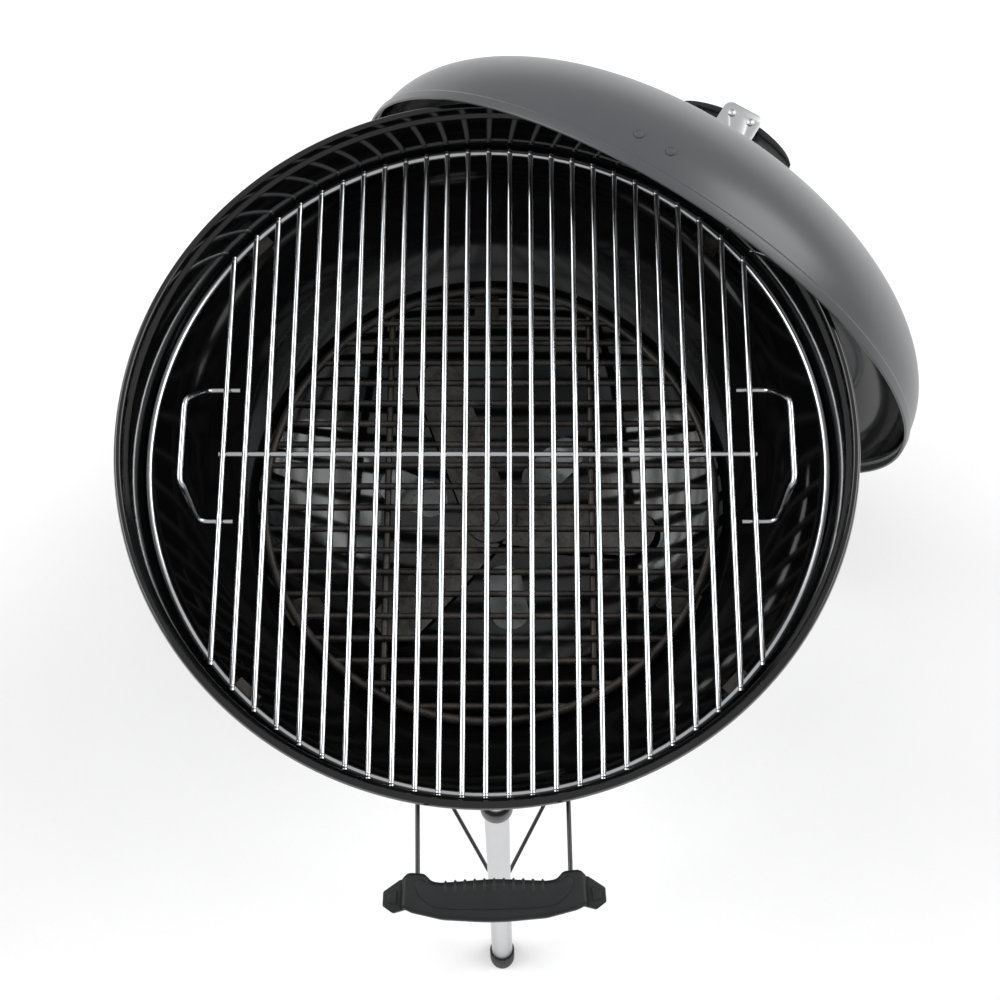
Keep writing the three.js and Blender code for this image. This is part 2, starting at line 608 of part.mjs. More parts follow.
rivetXs.forEach((x, i) => {
  const half = cheek + LID_BRACKET.sheet + GAP;
  const head = (side) => bar(V(x, side * half, rivetZ), V(x, side * (half + 1.6), rivetZ), 4, 12);
  const heads = [-1, 1].map(head);
  add("lid_rivet_" + (i + 1), joined([rivetBar(x, half + 0.4, 2.2), ...heads]), ALUMINIUM, lid);
});
add("lid_bolt", turned([
  [0, domeTop - 7], [6, domeTop - 7], [6, domeTop - 2.6], [3, domeTop - 2.6],
  [3, base + LID_BRACKET.sheet + GAP], [6, base + LID_BRACKET.sheet + GAP],
  [6, base + LID_BRACKET.sheet + 3.5], [0, base + LID_BRACKET.sheet + 4.5],
], 16), STEEL, lid);

// Lid hook: a flange riveted inside the dome, a strut, and a saddle that sits over the bowl's rim.
const inside = (z) => {
  const up = (z - LID.lipHeight - 1.5) / (domeTop - LID.sheet - LID.lipHeight - 1.5);
  return (LID.dome - LID.sheet) * Math.sqrt(1 - up * up);
};
function strap(points) {
  const t = HOOK.sheet;
  return points.slice(1).map(([z, y], i) => {
    const [z0, y0] = points[i];
    const length = Math.hypot(z - z0, y - y0);
    const made = block(HOOK.width, t, length + t * 0.9, 0, 0, 0);
    made.rotateX(-Math.atan2(y - y0, z - z0));
    return made.translate(0, (y + y0) / 2, (z + z0) / 2);
  });
}
const flangeY = (z) => inside(z) - HOOK.sheet / 2 - 1.6;
const saddle = HOOK.seat + HOOK.sheet / 2;
const [near, far] = [HOOK.from - HOOK.sheet / 2, HOOK.to + HOOK.sheet / 2];
const hookPieces = [
  ...strap([[18, flangeY(18)], [42, flangeY(42)], [near, saddle], [far, saddle], [far, HOOK.seat - 14]]),
  ...strap([[near, saddle], [near, HOOK.seat - 6]]),
];
add("lid_hook", cut(joined(hookPieces), [...rivetBores, lidSkin]), ALUMINIUM, lid);
HOOK.rivets.forEach((x, i) => {
  const at = (y) => V(x, y, HOOK.rivetZ);
  const under = flangeY(HOOK.rivetZ) - HOOK.sheet / 2 - 2.6;
  const outer = inside(HOOK.rivetZ) + LID.sheet + 0.7;
  const heads = [bar(at(under - 1.6), at(under), 4, 10), bar(at(outer), at(outer + 1.6), 4, 10)];
  const shank = bar(at(under - 0.4), at(outer + 0.4), 2.2, 10);
  add("hook_rivet_" + (i + 1), joined([...heads, shank]), ALUMINIUM, lid);
});

// Hang the lid: local +Z to the outward axis, local +Y to the upward radius.
const outward = polar(Math.cos(rad(LID.tilt)), LID.angle, Math.sin(rad(LID.tilt)));
const sideways = V(0, 0, 1).cross(outward).normalize();
const upward = outward.clone().cross(sideways);
lid.applyMatrix4(new THREE.Matrix4().makeBasis(sideways, upward, outward));
lid.position.copy(polar(LID.out, LID.angle, LID.z));
grill.add(lid);

// ---- stand the whole grill on z = 0, centred in x and y ----
const box = new THREE.Box3().setFromObject(grill, true);
const middle = box.getCenter(V(0, 0, 0));
grill.position.set(-middle.x, -middle.y, -box.min.z);
const group = new THREE.Group();
group.add(grill);
group.updateMatrixWorld(true);
export default group;
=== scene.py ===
import math

import bmesh
import bpy
from bpy.props import FloatProperty, FloatVectorProperty, IntProperty, PointerProperty
from mathutils import Matrix, Vector


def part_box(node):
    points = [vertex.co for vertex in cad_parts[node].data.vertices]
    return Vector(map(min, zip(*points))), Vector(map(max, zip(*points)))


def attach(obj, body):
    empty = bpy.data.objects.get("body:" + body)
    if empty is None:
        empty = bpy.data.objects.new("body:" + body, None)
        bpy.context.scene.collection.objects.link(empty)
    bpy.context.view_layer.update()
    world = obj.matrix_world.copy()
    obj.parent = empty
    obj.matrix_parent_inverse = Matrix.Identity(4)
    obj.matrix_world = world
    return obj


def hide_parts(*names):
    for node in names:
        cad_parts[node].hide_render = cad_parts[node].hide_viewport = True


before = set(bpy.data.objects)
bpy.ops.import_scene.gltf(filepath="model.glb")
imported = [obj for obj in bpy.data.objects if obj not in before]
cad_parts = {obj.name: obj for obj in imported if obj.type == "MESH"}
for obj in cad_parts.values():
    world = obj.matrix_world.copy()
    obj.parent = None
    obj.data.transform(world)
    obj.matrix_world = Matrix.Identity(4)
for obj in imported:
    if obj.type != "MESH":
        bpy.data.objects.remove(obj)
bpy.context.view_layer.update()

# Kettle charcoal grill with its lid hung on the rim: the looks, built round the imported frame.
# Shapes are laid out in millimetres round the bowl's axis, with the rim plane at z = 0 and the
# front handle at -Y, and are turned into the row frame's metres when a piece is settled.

bl_info = {
    "name": "Kettle charcoal grill",
    "version": (1, 0, 0),
    "blender": (4, 5, 0),
    "location": "3D View > Sidebar > Grill",
    "description": "Builds the detailed pieces and finishes of a kettle charcoal grill",
    "category": "Object",
}

# ---- the frame of the grill ----
BOWL_LOW, BOWL_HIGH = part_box("bowl")
CENTRE = (BOWL_LOW + BOWL_HIGH) / 2
MM = 0.001
GRILL = Matrix.Translation((CENTRE.x, CENTRE.y, BOWL_HIGH.z)) @ Matrix.Scale(MM, 4)

GAP = 0.3
BOWL_INNER, BOWL_WALL, BOWL_STRAIGHT, BOWL_DEPTH, BOWL_HOLE = 278.0, 2.2, 40.0, 212.0, 9.0
VENT_FROM, VENT_TO, VENT_WIDTH, VENT_ANGLES = 44.0, 108.0, 34.0, (40, 160, 280)
GRATE_TURN = math.radians(-1.2)
LEG_OUTER, LEG_INNER, LEG_START_R, LEG_START_Z, LEG_TOP_Z = 11.5, 9.9, 205.0, -150.0, -176.0
LEGS = {  # angle round the bowl, splay from the vertical, height of the tube's end
    "front": (-90, 18.5, -682.0),
    "right": (28, 13.5, -646.0),
    "left": (152, 13.5, -646.0),
}
FLOOR_Z = -BOWL_HIGH.z / MM
WHEEL_RADIUS, WHEEL_WIDTH, WHEEL_X = 76.0, 38.0, 304.0
DOME_R, DOME_TOP, DOME_BASE, LID_SHEET = 286.5, 150.0, 9.5, 2.0
LID_ANGLE, LID_OUT, LID_Z, LID_TILT = 56.7, 239.0, -212.0, 5.0
ROD_PITCH, GRATE_RING, GRATE_Z, WELD_SWELL = 17.75, 272.0, -57.0, 1.18
LOOP_FOOT_X, LOOP_OUT_X, LOOP_HALF, LOOP_RISE, LOOP_WIRE = 203.0, 231.0, 56.0, 35.0, 2.4
COAL_PITCH, COAL_RING, COAL_Z, COAL_BAR_Y = 19.5, 198.0, -176.0, 90.0
RACK_Z, RACK_INSET, RACK_WIRE, RACK_CROSS = -500.0, 0.2, 2.0, 1.6
COLLAR_OUTER, COLLAR_HEIGHT = 15.0, 16.0


def polar(radius, degrees, z=0.0):
    turn = math.radians(degrees)
    return Vector((radius * math.cos(turn), radius * math.sin(turn), z))


def lid_place():
    """The lid's own frame: +Z towards its apex, +Y up along its face."""
    tilt = math.radians(LID_TILT)
    outward = polar(math.cos(tilt), LID_ANGLE, math.sin(tilt))
    sideways = Vector((0, 0, 1)).cross(outward).normalized()
    upward = outward.cross(sideways)
    turn = Matrix((sideways, upward, outward)).transposed().to_4x4()
    return GRILL @ Matrix.Translation(polar(LID_OUT, LID_ANGLE, LID_Z)) @ turn


LID = lid_place()


def along(start, end):
    """A frame at start with +Z towards end."""
    start, end = Vector(start), Vector(end)
    turn = Vector((0, 0, 1)).rotation_difference(end - start).to_matrix().to_4x4()
    return Matrix.Translation(start) @ turn


def leg_point(side, z):
    angle, splay, _ = LEGS[side]
    return polar(LEG_START_R + (LEG_START_Z - z) * math.tan(math.radians(splay)), angle, z)


def leg_frame(side, z):
    """A frame on a leg's axis at height z, with +Z up the leg."""
    return along(leg_point(side, z), leg_point(side, z + 100))


# ---- outlines and bodies ----
def rounded(corners, steps=5):
    """A closed outline from (x, y, radius) corners, each corner turned into an arc."""
    outline = []
    for i, (x, y, radius) in enumerate(corners):
        corner = Vector((x, y))
        before = Vector(corners[i - 1][:2]) - corner
        after = Vector(corners[(i + 1) % len(corners)][:2]) - corner
        if radius <= 0:
            outline.append((x, y))
            continue
        half = before.angle(after) / 2
        reach = min(radius / math.tan(half), before.length * 0.49, after.length * 0.49)
        radius = reach * math.tan(half)
        middle = corner + (before.normalized() + after.normalized()).normalized() * (radius / math.sin(half))
        first = corner + before.normalized() * reach - middle
        last = corner + after.normalized() * reach - middle
        start = math.atan2(first.y, first.x)
        turn = (math.atan2(last.y, last.x) - start + math.pi) % (2 * math.pi) - math.pi
        for k in range(steps + 1):
            at = start + turn * k / steps
            outline.append((middle.x + radius * math.cos(at), middle.y + radius * math.sin(at)))
    return outline


def bend(points, radius, steps=6):
    """A wire's path through points, with its corners bent round."""
    points = [Vector(p) for p in points]
    path = [points[0]]
    for before, corner, after in zip(points, points[1:], points[2:]):
        back, on = before - corner, after - corner
        start = corner + back.normalized() * min(radius, back.length * 0.48)
        end = corner + on.normalized() * min(radius, on.length * 0.48)
        for k in range(steps + 1):
            t = k / steps
            path.append(start * (1 - t) ** 2 + corner * 2 * t * (1 - t) + end * t * t)
    return path + [points[-1]]


def turned(profile, sides=96, closed=False):
    """A profile of (radius, height) turned about +Z. Points on the axis become poles."""
    verts, rings = [], []
    for radius, height in profile:
        count = sides if radius > 1e-6 else 1
        rings.append(range(len(verts), len(verts) + count))
        for k in range(count):
            turn = 2 * math.pi * k / sides
            verts.append((radius * math.cos(turn), radius * math.sin(turn), height))
    faces = []
    pairs = list(zip(rings, rings[1:])) + ([(rings[-1], rings[0])] if closed else [])
    for low, high in pairs:
        for k in range(sides):
            n = (k + 1) % sides
            corners = [low[k % len(low)], low[n % len(low)], high[n % len(high)], high[k % len(high)]]
            corners = list(dict.fromkeys(corners))
            if len(corners) > 2:
                faces.append(corners)
    return verts, faces


def lofted(rings):
    """A closed body through rings of points, capped at both ends."""
    count = len(rings[0])
    verts = [tuple(p) for ring in rings for p in ring]
    faces = [list(range(count)), list(range(len(verts) - count, len(verts)))[::-1]]
    for i in range(len(rings) - 1):
        for k in range(count):
            n = (k + 1) % count
            a, b = i * count, (i + 1) * count
            faces.append([a + k, a + n, b + n, b + k])
    return verts, faces


def prism(outline, low, high):
    return lofted([[(x, y, low) for x, y in outline], [(x, y, high) for x, y in outline]])


def strap(path, width, thickness, end_radius=0.0):
    """A bent strip of sheet: path is (y, z) points, and the strip is width wide along X."""
    path = [Vector((0, y, z)) for y, z in path]
    lengths = [0.0]
    for a, b in zip(path, path[1:]):
        lengths.append(lengths[-1] + (b - a).length)
    total = lengths[-1]
    marks = set(lengths)
    if end_radius:
        for k in range(7):
            step = end_radius * (1 - math.cos(math.pi / 2 * k / 6))
            marks |= {step, total - step}
    rings = []
    for mark in sorted(marks):
        i = max(j for j in range(len(path) - 1) if lengths[j] <= mark + 1e-9)
        a, b = path[i], path[i + 1]
        at = a.lerp(b, (mark - lengths[i]) / (lengths[i + 1] - lengths[i]))
        ahead = path[min(i + 2, len(path) - 1)] - b
        here = b - a
        behind = a - path[i - 1] if i else here
        tangent = here.normalized()
        if abs(mark - lengths[i]) < 1e-6:
            tangent = (behind.normalized() + here.normalized()).normalized()
        elif abs(mark - lengths[i + 1]) < 1e-6 and ahead.length:
            tangent = (here.normalized() + ahead.normalized()).normalized()
        normal = Vector((1, 0, 0)).cross(tangent) * thickness / 2
        half = width / 2
        from_end = min(mark, total - mark)
        if from_end < end_radius:
            half -= end_radius - math.sqrt(end_radius**2 - (end_radius - from_end) ** 2)
        side = Vector((half, 0, 0))
        rings.append([at - side - normal, at + side - normal, at + side + normal, at - side + normal])
    return lofted(rings)


def moved(body, place):
    verts, faces = body
    return [tuple(place @ Vector(v)) for v in verts], faces


def new_mesh(*bodies):
    """One mesh from (verts, faces) bodies, or (verts, faces, material index), facing outwards."""
    bm = bmesh.new()
    for verts, faces, *index in bodies:
        made = [bm.verts.new(v) for v in verts]
        for corners in faces:
            face = bm.faces.new([made[i] for i in corners])
            face.material_index = index[0] if index else 0
    bmesh.ops.recalc_face_normals(bm, faces=bm.faces)
    mesh = bpy.data.meshes.new("work")
    bm.to_mesh(mesh)
    bm.free()
    return mesh


def path_mesh(*paths):
    """Edges along each path, for wires to follow. A path that ends where it starts is closed."""
    mesh = bpy.data.meshes.new("work")
    verts, edges = [], []
    for path in paths:
        path = [tuple(p) for p in path]
        closed = path[0] == path[-1]
        path = path[:-1] if closed else path
        first = len(verts)
        verts += path
        edges += [(first + k, first + k + 1) for k in range(len(path) - 1)]
        if closed:
            edges.append((len(verts) - 1, first))
    mesh.from_pydata(verts, edges, [])
    return mesh


def work_object(mesh):
    obj = bpy.data.objects.new("work", mesh)
    bpy.context.scene.collection.objects.link(obj)
    return obj


def baked(obj):
    """The object's evaluated mesh as plain data. The object itself is removed."""
    graph = bpy.context.evaluated_depsgraph_get()
    mesh = bpy.data.meshes.new_from_object(obj.evaluated_get(graph), depsgraph=graph)
    bpy.data.objects.remove(obj)
    return mesh


def bevelled(mesh, width, segments=3, angle=30):
    obj = work_object(mesh)
    bevel = obj.modifiers.new("edge", "BEVEL")
    bevel.width, bevel.segments = width, segments
    bevel.limit_method, bevel.angle_limit = "ANGLE", math.radians(angle)
    bevel.use_clamp_overlap = True
    return baked(obj)


def pierced(mesh, *tools):
    """The mesh with closed tool bodies cut away."""
    obj = work_object(mesh)
    cutters = [work_object(new_mesh(tool)) for tool in tools]
    for cutter in cutters:
        cut = obj.modifiers.new("cut", "BOOLEAN")
        cut.operation, cut.object, cut.solver = "DIFFERENCE", cutter, "EXACT"
    mesh = baked(obj)
    for cutter in cutters:
        bpy.data.objects.remove(cutter)
    return mesh


def settle(name, mesh, body, replaces=(), materials=(), place=GRILL, angle=38):
    """Puts a finished mesh in the row frame and hands it to its body."""
    mesh.transform(place)
    mesh.name = name
    if materials:
        mesh.materials.clear()
        for material in materials:
            mesh.materials.append(material)
    mesh.shade_smooth()
    mesh.set_sharp_from_angle(angle=math.radians(angle))
    obj = bpy.data.objects.new(name, mesh)
    bpy.context.scene.collection.objects.link(obj)
    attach(obj, body)
    if replaces:
        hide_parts(*replaces)
    return obj


# ---- node trees ----
def put(tree, kind, links=None, **settings):
    """Adds a node. An input takes a value, a socket, or a node, which stands for its first output."""
    node = tree.nodes.new(kind)
    for key, value in settings.items():
        setattr(node, key, value)
    for key, value in (links or {}).items():
        if isinstance(value, bpy.types.Node):
            value = value.outputs[0]
        if isinstance(value, bpy.types.NodeSocket):
            tree.links.new(value, node.inputs[key])
        else:
            node.inputs[key].default_value = value
    return node


KINDS = {
    float: "NodeSocketFloat", int: "NodeSocketInt", tuple: "NodeSocketVector",
    bpy.types.Material: "NodeSocketMaterial",
}


def geometry_tree(name, inputs):
    """An empty geometry tree with a geometry input and output and the named inputs."""
    tree = bpy.data.node_groups.new(name, "GeometryNodeTree")
    tree.interface.new_socket(name="Geometry", in_out="INPUT", socket_type="NodeSocketGeometry")
    tree.interface.new_socket(name="Geometry", in_out="OUTPUT", socket_type="NodeSocketGeometry")
    for key, kind in inputs.items():
        tree.interface.new_socket(name=key, in_out="INPUT", socket_type=KINDS[kind])
    return tree, put(tree, "NodeGroupInput").outputs


def end_tree(tree, given, geometry):
    """Real meshes with their material, as the tree's last two steps."""
    real = put(tree, "GeometryNodeRealizeInstances", {"Geometry": geometry})
    painted = put(tree, "GeometryNodeSetMaterial", {"Geometry": real, "Material": given["Material"]})
    put(tree, "NodeGroupOutput", {"Geometry": painted})
    return tree


def tube(tree, path, radius, sides):
    """A round wire with closed ends along a curve."""
    section = put(tree, "GeometryNodeCurvePrimitiveCircle", {"Resolution": sides, "Radius": radius})
    return put(tree, "GeometryNodeCurveToMesh", {
        "Curve": path, "Profile Curve": section, "Fill Caps": True})


def wire_tree():
    """A round wire along every path of the input."""
    tree, given = geometry_tree("bent_wire", {
        "Radius": float, "Sides": int, "Material": bpy.types.Material})
    path = put(tree, "GeometryNodeMeshToCurve", {"Mesh": given["Geometry"]})
    return end_tree(tree, given, tube(tree, path, given["Radius"], given["Sides"]))


def grate_tree():
    """Parallel rods that end on a ring, a weld at every end, and the input's paths as cross bars."""
    tree, given = geometry_tree("welded_grate", {
        "Ring Radius": float, "Ring Wire": float, "Rod Wire": float, "Bar Wire": float, "Rods": int,
        "Pitch": float, "Overrun": float, "Rod Lift": float, "Material": bpy.types.Material})

    def half_chord(radius, square):
        """Half the length of the ring's chord at each rod."""
        whole = put(tree, "ShaderNodeMath", {0: radius, 1: radius}, operation="MULTIPLY")
        rest = put(tree, "ShaderNodeMath", {0: whole, 1: square}, operation="SUBTRACT")
        return put(tree, "ShaderNodeMath", {0: rest}, operation="SQRT")

    last = put(tree, "ShaderNodeMath", {0: given["Rods"], 1: 1.0}, operation="SUBTRACT")
    spread = put(tree, "ShaderNodeMath", {0: last, 1: given["Pitch"]}, operation="MULTIPLY")
    first = put(tree, "ShaderNodeMath", {0: spread, 1: -0.5}, operation="MULTIPLY")
    start = put(tree, "ShaderNodeCombineXYZ", {"X": first, "Z": given["Rod Lift"]})
    step = put(tree, "ShaderNodeCombineXYZ", {"X": given["Pitch"]})
    row = put(tree, "GeometryNodeMeshLine", {
        "Count": given["Rods"], "Start Location": start, "Offset": step}, mode="OFFSET")
    place = put(tree, "ShaderNodeSeparateXYZ", {0: put(tree, "GeometryNodeInputPosition")})
    square = put(tree, "ShaderNodeMath", {0: place, 1: place}, operation="MULTIPLY")
    reach = put(tree, "ShaderNodeMath", {0: given["Ring Radius"], 1: given["Overrun"]}, operation="ADD")
    size = put(tree, "ShaderNodeCombineXYZ", {"X": 1.0, "Y": half_chord(reach, square), "Z": 1.0})
    unit = put(tree, "GeometryNodeCurvePrimitiveLine", {"Start": (0, -1, 0), "End": (0, 1, 0)})
    lines = put(tree, "GeometryNodeInstanceOnPoints", {"Points": row, "Instance": unit, "Scale": size})
    chords = put(tree, "GeometryNodeRealizeInstances", {0: lines})
    circle = put(tree, "GeometryNodeCurvePrimitiveCircle", {
        "Resolution": 180, "Radius": given["Ring Radius"]})
    bars = put(tree, "GeometryNodeMeshToCurve", {"Mesh": given["Geometry"]})
    joins = [
        tube(tree, chords, given["Rod Wire"], 12), tube(tree, circle, given["Ring Wire"], 12),
        tube(tree, bars, given["Bar Wire"], 12)]

    bead = put(tree, "ShaderNodeMath", {0: given["Rod Wire"], 1: WELD_SWELL}, operation="MULTIPLY")
    blob = put(tree, "GeometryNodeMeshUVSphere", {"Segments": 10, "Rings": 6, "Radius": bead})
    inset = half_chord(given["Ring Radius"], square)
    for side in (-1.0, 1.0):
        across = put(tree, "ShaderNodeMath", {0: inset, 1: side}, operation="MULTIPLY")
        shift = put(tree, "ShaderNodeCombineXYZ", {"Y": across})
        ends = put(tree, "GeometryNodeSetPosition", {"Geometry": row, "Offset": shift})
        joins.append(put(tree, "GeometryNodeInstanceOnPoints", {"Points": ends, "Instance": blob}))
    whole = put(tree, "GeometryNodeJoinGeometry")
    for part in joins:
        tree.links.new(part.outputs[0], whole.inputs[0])
    return end_tree(tree, given, whole)


def row_tree():
    """The input repeated in a straight or crowned row along X."""
    tree, given = geometry_tree("row_of_parts", {
        "Count": int, "Spacing": float, "Crown": float, "Material": bpy.types.Material})
    last = put(tree, "ShaderNodeMath", {0: given["Count"], 1: 1.0}, operation="SUBTRACT")
    span = put(tree, "ShaderNodeMath", {0: last, 1: given["Spacing"]}, operation="MULTIPLY")
    half = put(tree, "ShaderNodeMath", {0: span, 1: 0.5}, operation="MULTIPLY")
    back = put(tree, "ShaderNodeMath", {0: half, 1: -1.0}, operation="MULTIPLY")
    start = put(tree, "ShaderNodeCombineXYZ", {"X": back})
    step = put(tree, "ShaderNodeCombineXYZ", {"X": given["Spacing"]})
    row = put(tree, "GeometryNodeMeshLine", {
        "Count": given["Count"], "Start Location": start, "Offset": step}, mode="OFFSET")
    place = put(tree, "ShaderNodeSeparateXYZ", {0: put(tree, "GeometryNodeInputPosition")})
    share = put(tree, "ShaderNodeMath", {0: place, 1: half}, operation="DIVIDE")
    square = put(tree, "ShaderNodeMath", {0: share, 1: share}, operation="MULTIPLY")
    drop = put(tree, "ShaderNodeMath", {0: square, 1: given["Crown"]}, operation="MULTIPLY")
    down = put(tree, "ShaderNodeMath", {0: drop, 1: -1.0}, operation="MULTIPLY")
    shift = put(tree, "ShaderNodeCombineXYZ", {"Y": down})
    crowned = put(tree, "GeometryNodeSetPosition", {"Geometry": row, "Offset": shift})
    parts = put(tree, "GeometryNodeInstanceOnPoints", {"Points": crowned, "Instance": given["Geometry"]})
    return end_tree(tree, given, parts)


def wheel_tree():
    """The input repeated round +Z."""
    tree, given = geometry_tree("ring_of_parts", {"Count": int, "Material": bpy.types.Material})
    row = put(tree, "GeometryNodeMeshLine", {
        "Count": given["Count"], "Offset": (0, 0, 0)}, mode="OFFSET")
    step = put(tree, "ShaderNodeMath", {0: 2 * math.pi, 1: given["Count"]}, operation="DIVIDE")
    number = put(tree, "GeometryNodeInputIndex")
    turn = put(tree, "ShaderNodeMath", {0: number, 1: step}, operation="MULTIPLY")
    euler = put(tree, "ShaderNodeCombineXYZ", {"Z": turn})
    rotation = put(tree, "FunctionNodeEulerToRotation", {0: euler})
    parts = put(tree, "GeometryNodeInstanceOnPoints", {
        "Points": row, "Instance": given["Geometry"], "Rotation": rotation})
    return end_tree(tree, given, parts)


TREES = {
    "bent_wire": wire_tree, "welded_grate": grate_tree, "row_of_parts": row_tree,
    "ring_of_parts": wheel_tree,
}


def grown(tree_name, mesh, **values):
    """The mesh that a tree makes from the given one. Names are the tree's inputs with _ for spaces."""
    tree = bpy.data.node_groups.get(tree_name) or TREES[tree_name]()
    obj = work_object(mesh)
    modifier = obj.modifiers.new(tree_name, "NODES")
    modifier.node_group = tree
    sockets = {
        item.name: item.identifier for item in tree.interface.items_tree
        if item.item_type == "SOCKET" and item.in_out == "INPUT"
    }
    for key, value in values.items():
        modifier[sockets[key.replace("_", " ")]] = value
    return baked(obj)


def wires(paths, radius, material, sides=12):
    return grown("bent_wire", path_mesh(*paths), Radius=float(radius), Sides=sides, Material=material)


def merged(*meshes):
    """Several meshes as one. They share the first one's materials, by name."""
    bm = bmesh.new()
    slots = []
    for mesh in meshes:
        first = len(bm.faces)
        names = [m.name if m else None for m in mesh.materials] or [None]
        slots += [n for n in names if n not in slots]
        bm.from_mesh(mesh)
        bm.faces.ensure_lookup_table()
        for face in bm.faces[first:]:
            face.material_index = slots.index(names[min(face.material_index, len(names) - 1)])
    whole = bpy.data.meshes.new("work")
    bm.to_mesh(whole)
    bm.free()
    for name in slots:
        if name:
            whole.materials.append(bpy.data.materials[name])
    return whole


# ---- finishes ----
def linear(hex_colour):
    """An sRGB hex colour as linear RGBA."""
    parts = [int(hex_colour[i:i + 2], 16) / 255 for i in (1, 3, 5)]
    return tuple(c / 12.92 if c <= 0.04045 else ((c + 0.055) / 1.055) ** 2.4 for c in parts) + (1.0,)


def finish(name, dark, light, gloss, metallic=0.0, ior=1.5, grain_mm=2.0, stretch=(1, 1, 1),
           relief_mm=0.0, blotch_mm=60.0, specks_mm=0.0, mirror=0.5):
    """A surface of two shades of one colour: grain in its relief, slow blotches in shade and gloss.

    dark and light are linear colours, gloss the lowest and highest roughness, and stretch how many
    times finer the grain is along X, Y and Z. specks_mm adds fine dark pits of that spacing, and a
    mirror below 0.5 stands for a relief too fine to draw, which traps some of the reflection.
    """
    material = bpy.data.materials.new(name)
    material.use_nodes = True
    tree = material.node_tree
    tree.nodes.clear()
    where = put(tree, "ShaderNodeTexCoord").outputs["Object"]
    run = put(tree, "ShaderNodeMapping", {
        "Vector": where, "Scale": tuple(s / (grain_mm * MM) for s in stretch)})
    grain = put(tree, "ShaderNodeTexNoise", {
        "Vector": run, "Scale": 1.0, "Detail": 3.0, "Roughness": 0.55}).outputs["Fac"]
    blotch = put(tree, "ShaderNodeTexNoise", {
        "Vector": where, "Scale": 1 / (blotch_mm * MM), "Detail": 4.0}).outputs["Fac"]
    both = put(tree, "ShaderNodeMath", {0: grain, 1: 0.35, 2: blotch}, operation="MULTIPLY_ADD")
    share = put(tree, "ShaderNodeMapRange", {"Value": both, "From Min": 0.45, "From Max": 0.9})
    shade = put(tree, "ShaderNodeMix", {0: share, 6: dark, 7: light}, data_type="RGBA").outputs[2]
    rough = put(tree, "ShaderNodeMapRange", {
        "Value": blotch, "From Min": 0.3, "From Max": 0.7, "To Min": gloss[0], "To Max": gloss[1]})
    if specks_mm:
        cells = put(tree, "ShaderNodeTexVoronoi", {"Vector": where, "Scale": 1 / (specks_mm * MM)})
        pit = put(tree, "ShaderNodeMapRange", {
            "Value": cells.outputs["Distance"], "From Min": 0.05, "From Max": 0.22})
        soot = tuple(c * 0.55 for c in dark[:3]) + (1.0,)
        shade = put(tree, "ShaderNodeMix", {0: pit, 6: soot, 7: shade}, data_type="RGBA").outputs[2]
    shader = put(tree, "ShaderNodeBsdfPrincipled", {
        "Base Color": shade, "Metallic": metallic, "Roughness": rough, "Specular IOR Level": mirror})
    if metallic < 0.5:
        shader.inputs["IOR"].default_value = ior
    if relief_mm:
        bump = put(tree, "ShaderNodeBump", {
            "Height": grain, "Distance": relief_mm * MM, "Strength": 1.0})
        tree.links.new(bump.outputs[0], shader.inputs["Normal"])
    put(tree, "ShaderNodeOutputMaterial", {"Surface": shader})
    return material


def shades(colour, spread):
    """A darker and a lighter shade of a linear colour."""
    low = tuple(c * (1 - spread) for c in colour[:3]) + (1.0,)
    high = tuple(min(c * (1 + spread), 1.0) for c in colour[:3]) + (1.0,)
    return low, high


def chosen(key, spread):
    """Two shades of a colour set in the panel."""
    return shades(getattr(bpy.context.scene.grill, key), spread)


def black_enamel():
    # Porcelain enamel, glass frit fired onto steel: a deep gloss with a faint orange peel
    # about 9 mm across, so that reflections waver a little.
    return finish("black_vitreous_enamel", *chosen("bowl_colour", 0.18), gloss=(0.05, 0.1),
                  ior=1.52, grain_mm=9, relief_mm=0.012, blotch_mm=120)


def smoke_enamel():
    # The same fired glass in smoke grey, fired to a satin: its reflections spread to a soft sheen.
    return finish("smoke_vitreous_enamel", *chosen("lid_colour", 0.05), gloss=(0.3, 0.36),
                  ior=1.52, grain_mm=11, relief_mm=0.008, blotch_mm=160)


def plated_wire():
    # Drawn steel rod, plated after welding: bright, with draw lines along the rods (Y) that smear
    # the highlight and a slightly duller shade near welds and handling marks.
    return finish("bright_plated_wire", *shades(linear("#c4c6c9"), 0.1), gloss=(0.12, 0.26),
                  metallic=1.0, grain_mm=1.6, stretch=(2.5, 0.12, 2.5), relief_mm=0.02, blotch_mm=35)


def stained_steel():
    # Hot-rolled bar that has been through fires: dark oxide with brown-grey patches 20 mm across.
    return finish("heat_stained_steel", linear("#2c2a29"), linear("#5b5753"), gloss=(0.38, 0.6),
                  metallic=0.85, grain_mm=2.5, relief_mm=0.12, blotch_mm=22, specks_mm=4)


def satin_aluminium():
    # Drawn tube and pressed sheet, satin anodised: fine vertical brush lines and a soft sheen.
    return finish("satin_anodised_aluminium", *shades(linear("#c6c7c8"), 0.06), gloss=(0.28, 0.38),
                  metallic=1.0, grain_mm=1.2, stretch=(3, 3, 0.06), relief_mm=0.012, blotch_mm=50)


def mill_aluminium():
    # Spun and pressed aluminium left as it comes from the mill: duller, with a light ash bloom.
    return finish("mill_finish_aluminium", linear("#a9aaab"), linear("#c9cacb"), gloss=(0.34, 0.5),
                  metallic=1.0, grain_mm=3, relief_mm=0.03, blotch_mm=30, specks_mm=7)


def sooted_aluminium():
    # Aluminised sheet that sweeps hot ash: grey with soot worked into it, dull and unevenly matt.
    return finish("sooted_aluminised_sheet", linear("#3a3938"), linear("#6e6c6a"), gloss=(0.42, 0.62),
                  metallic=0.9, grain_mm=3, relief_mm=0.05, blotch_mm=16, specks_mm=5)


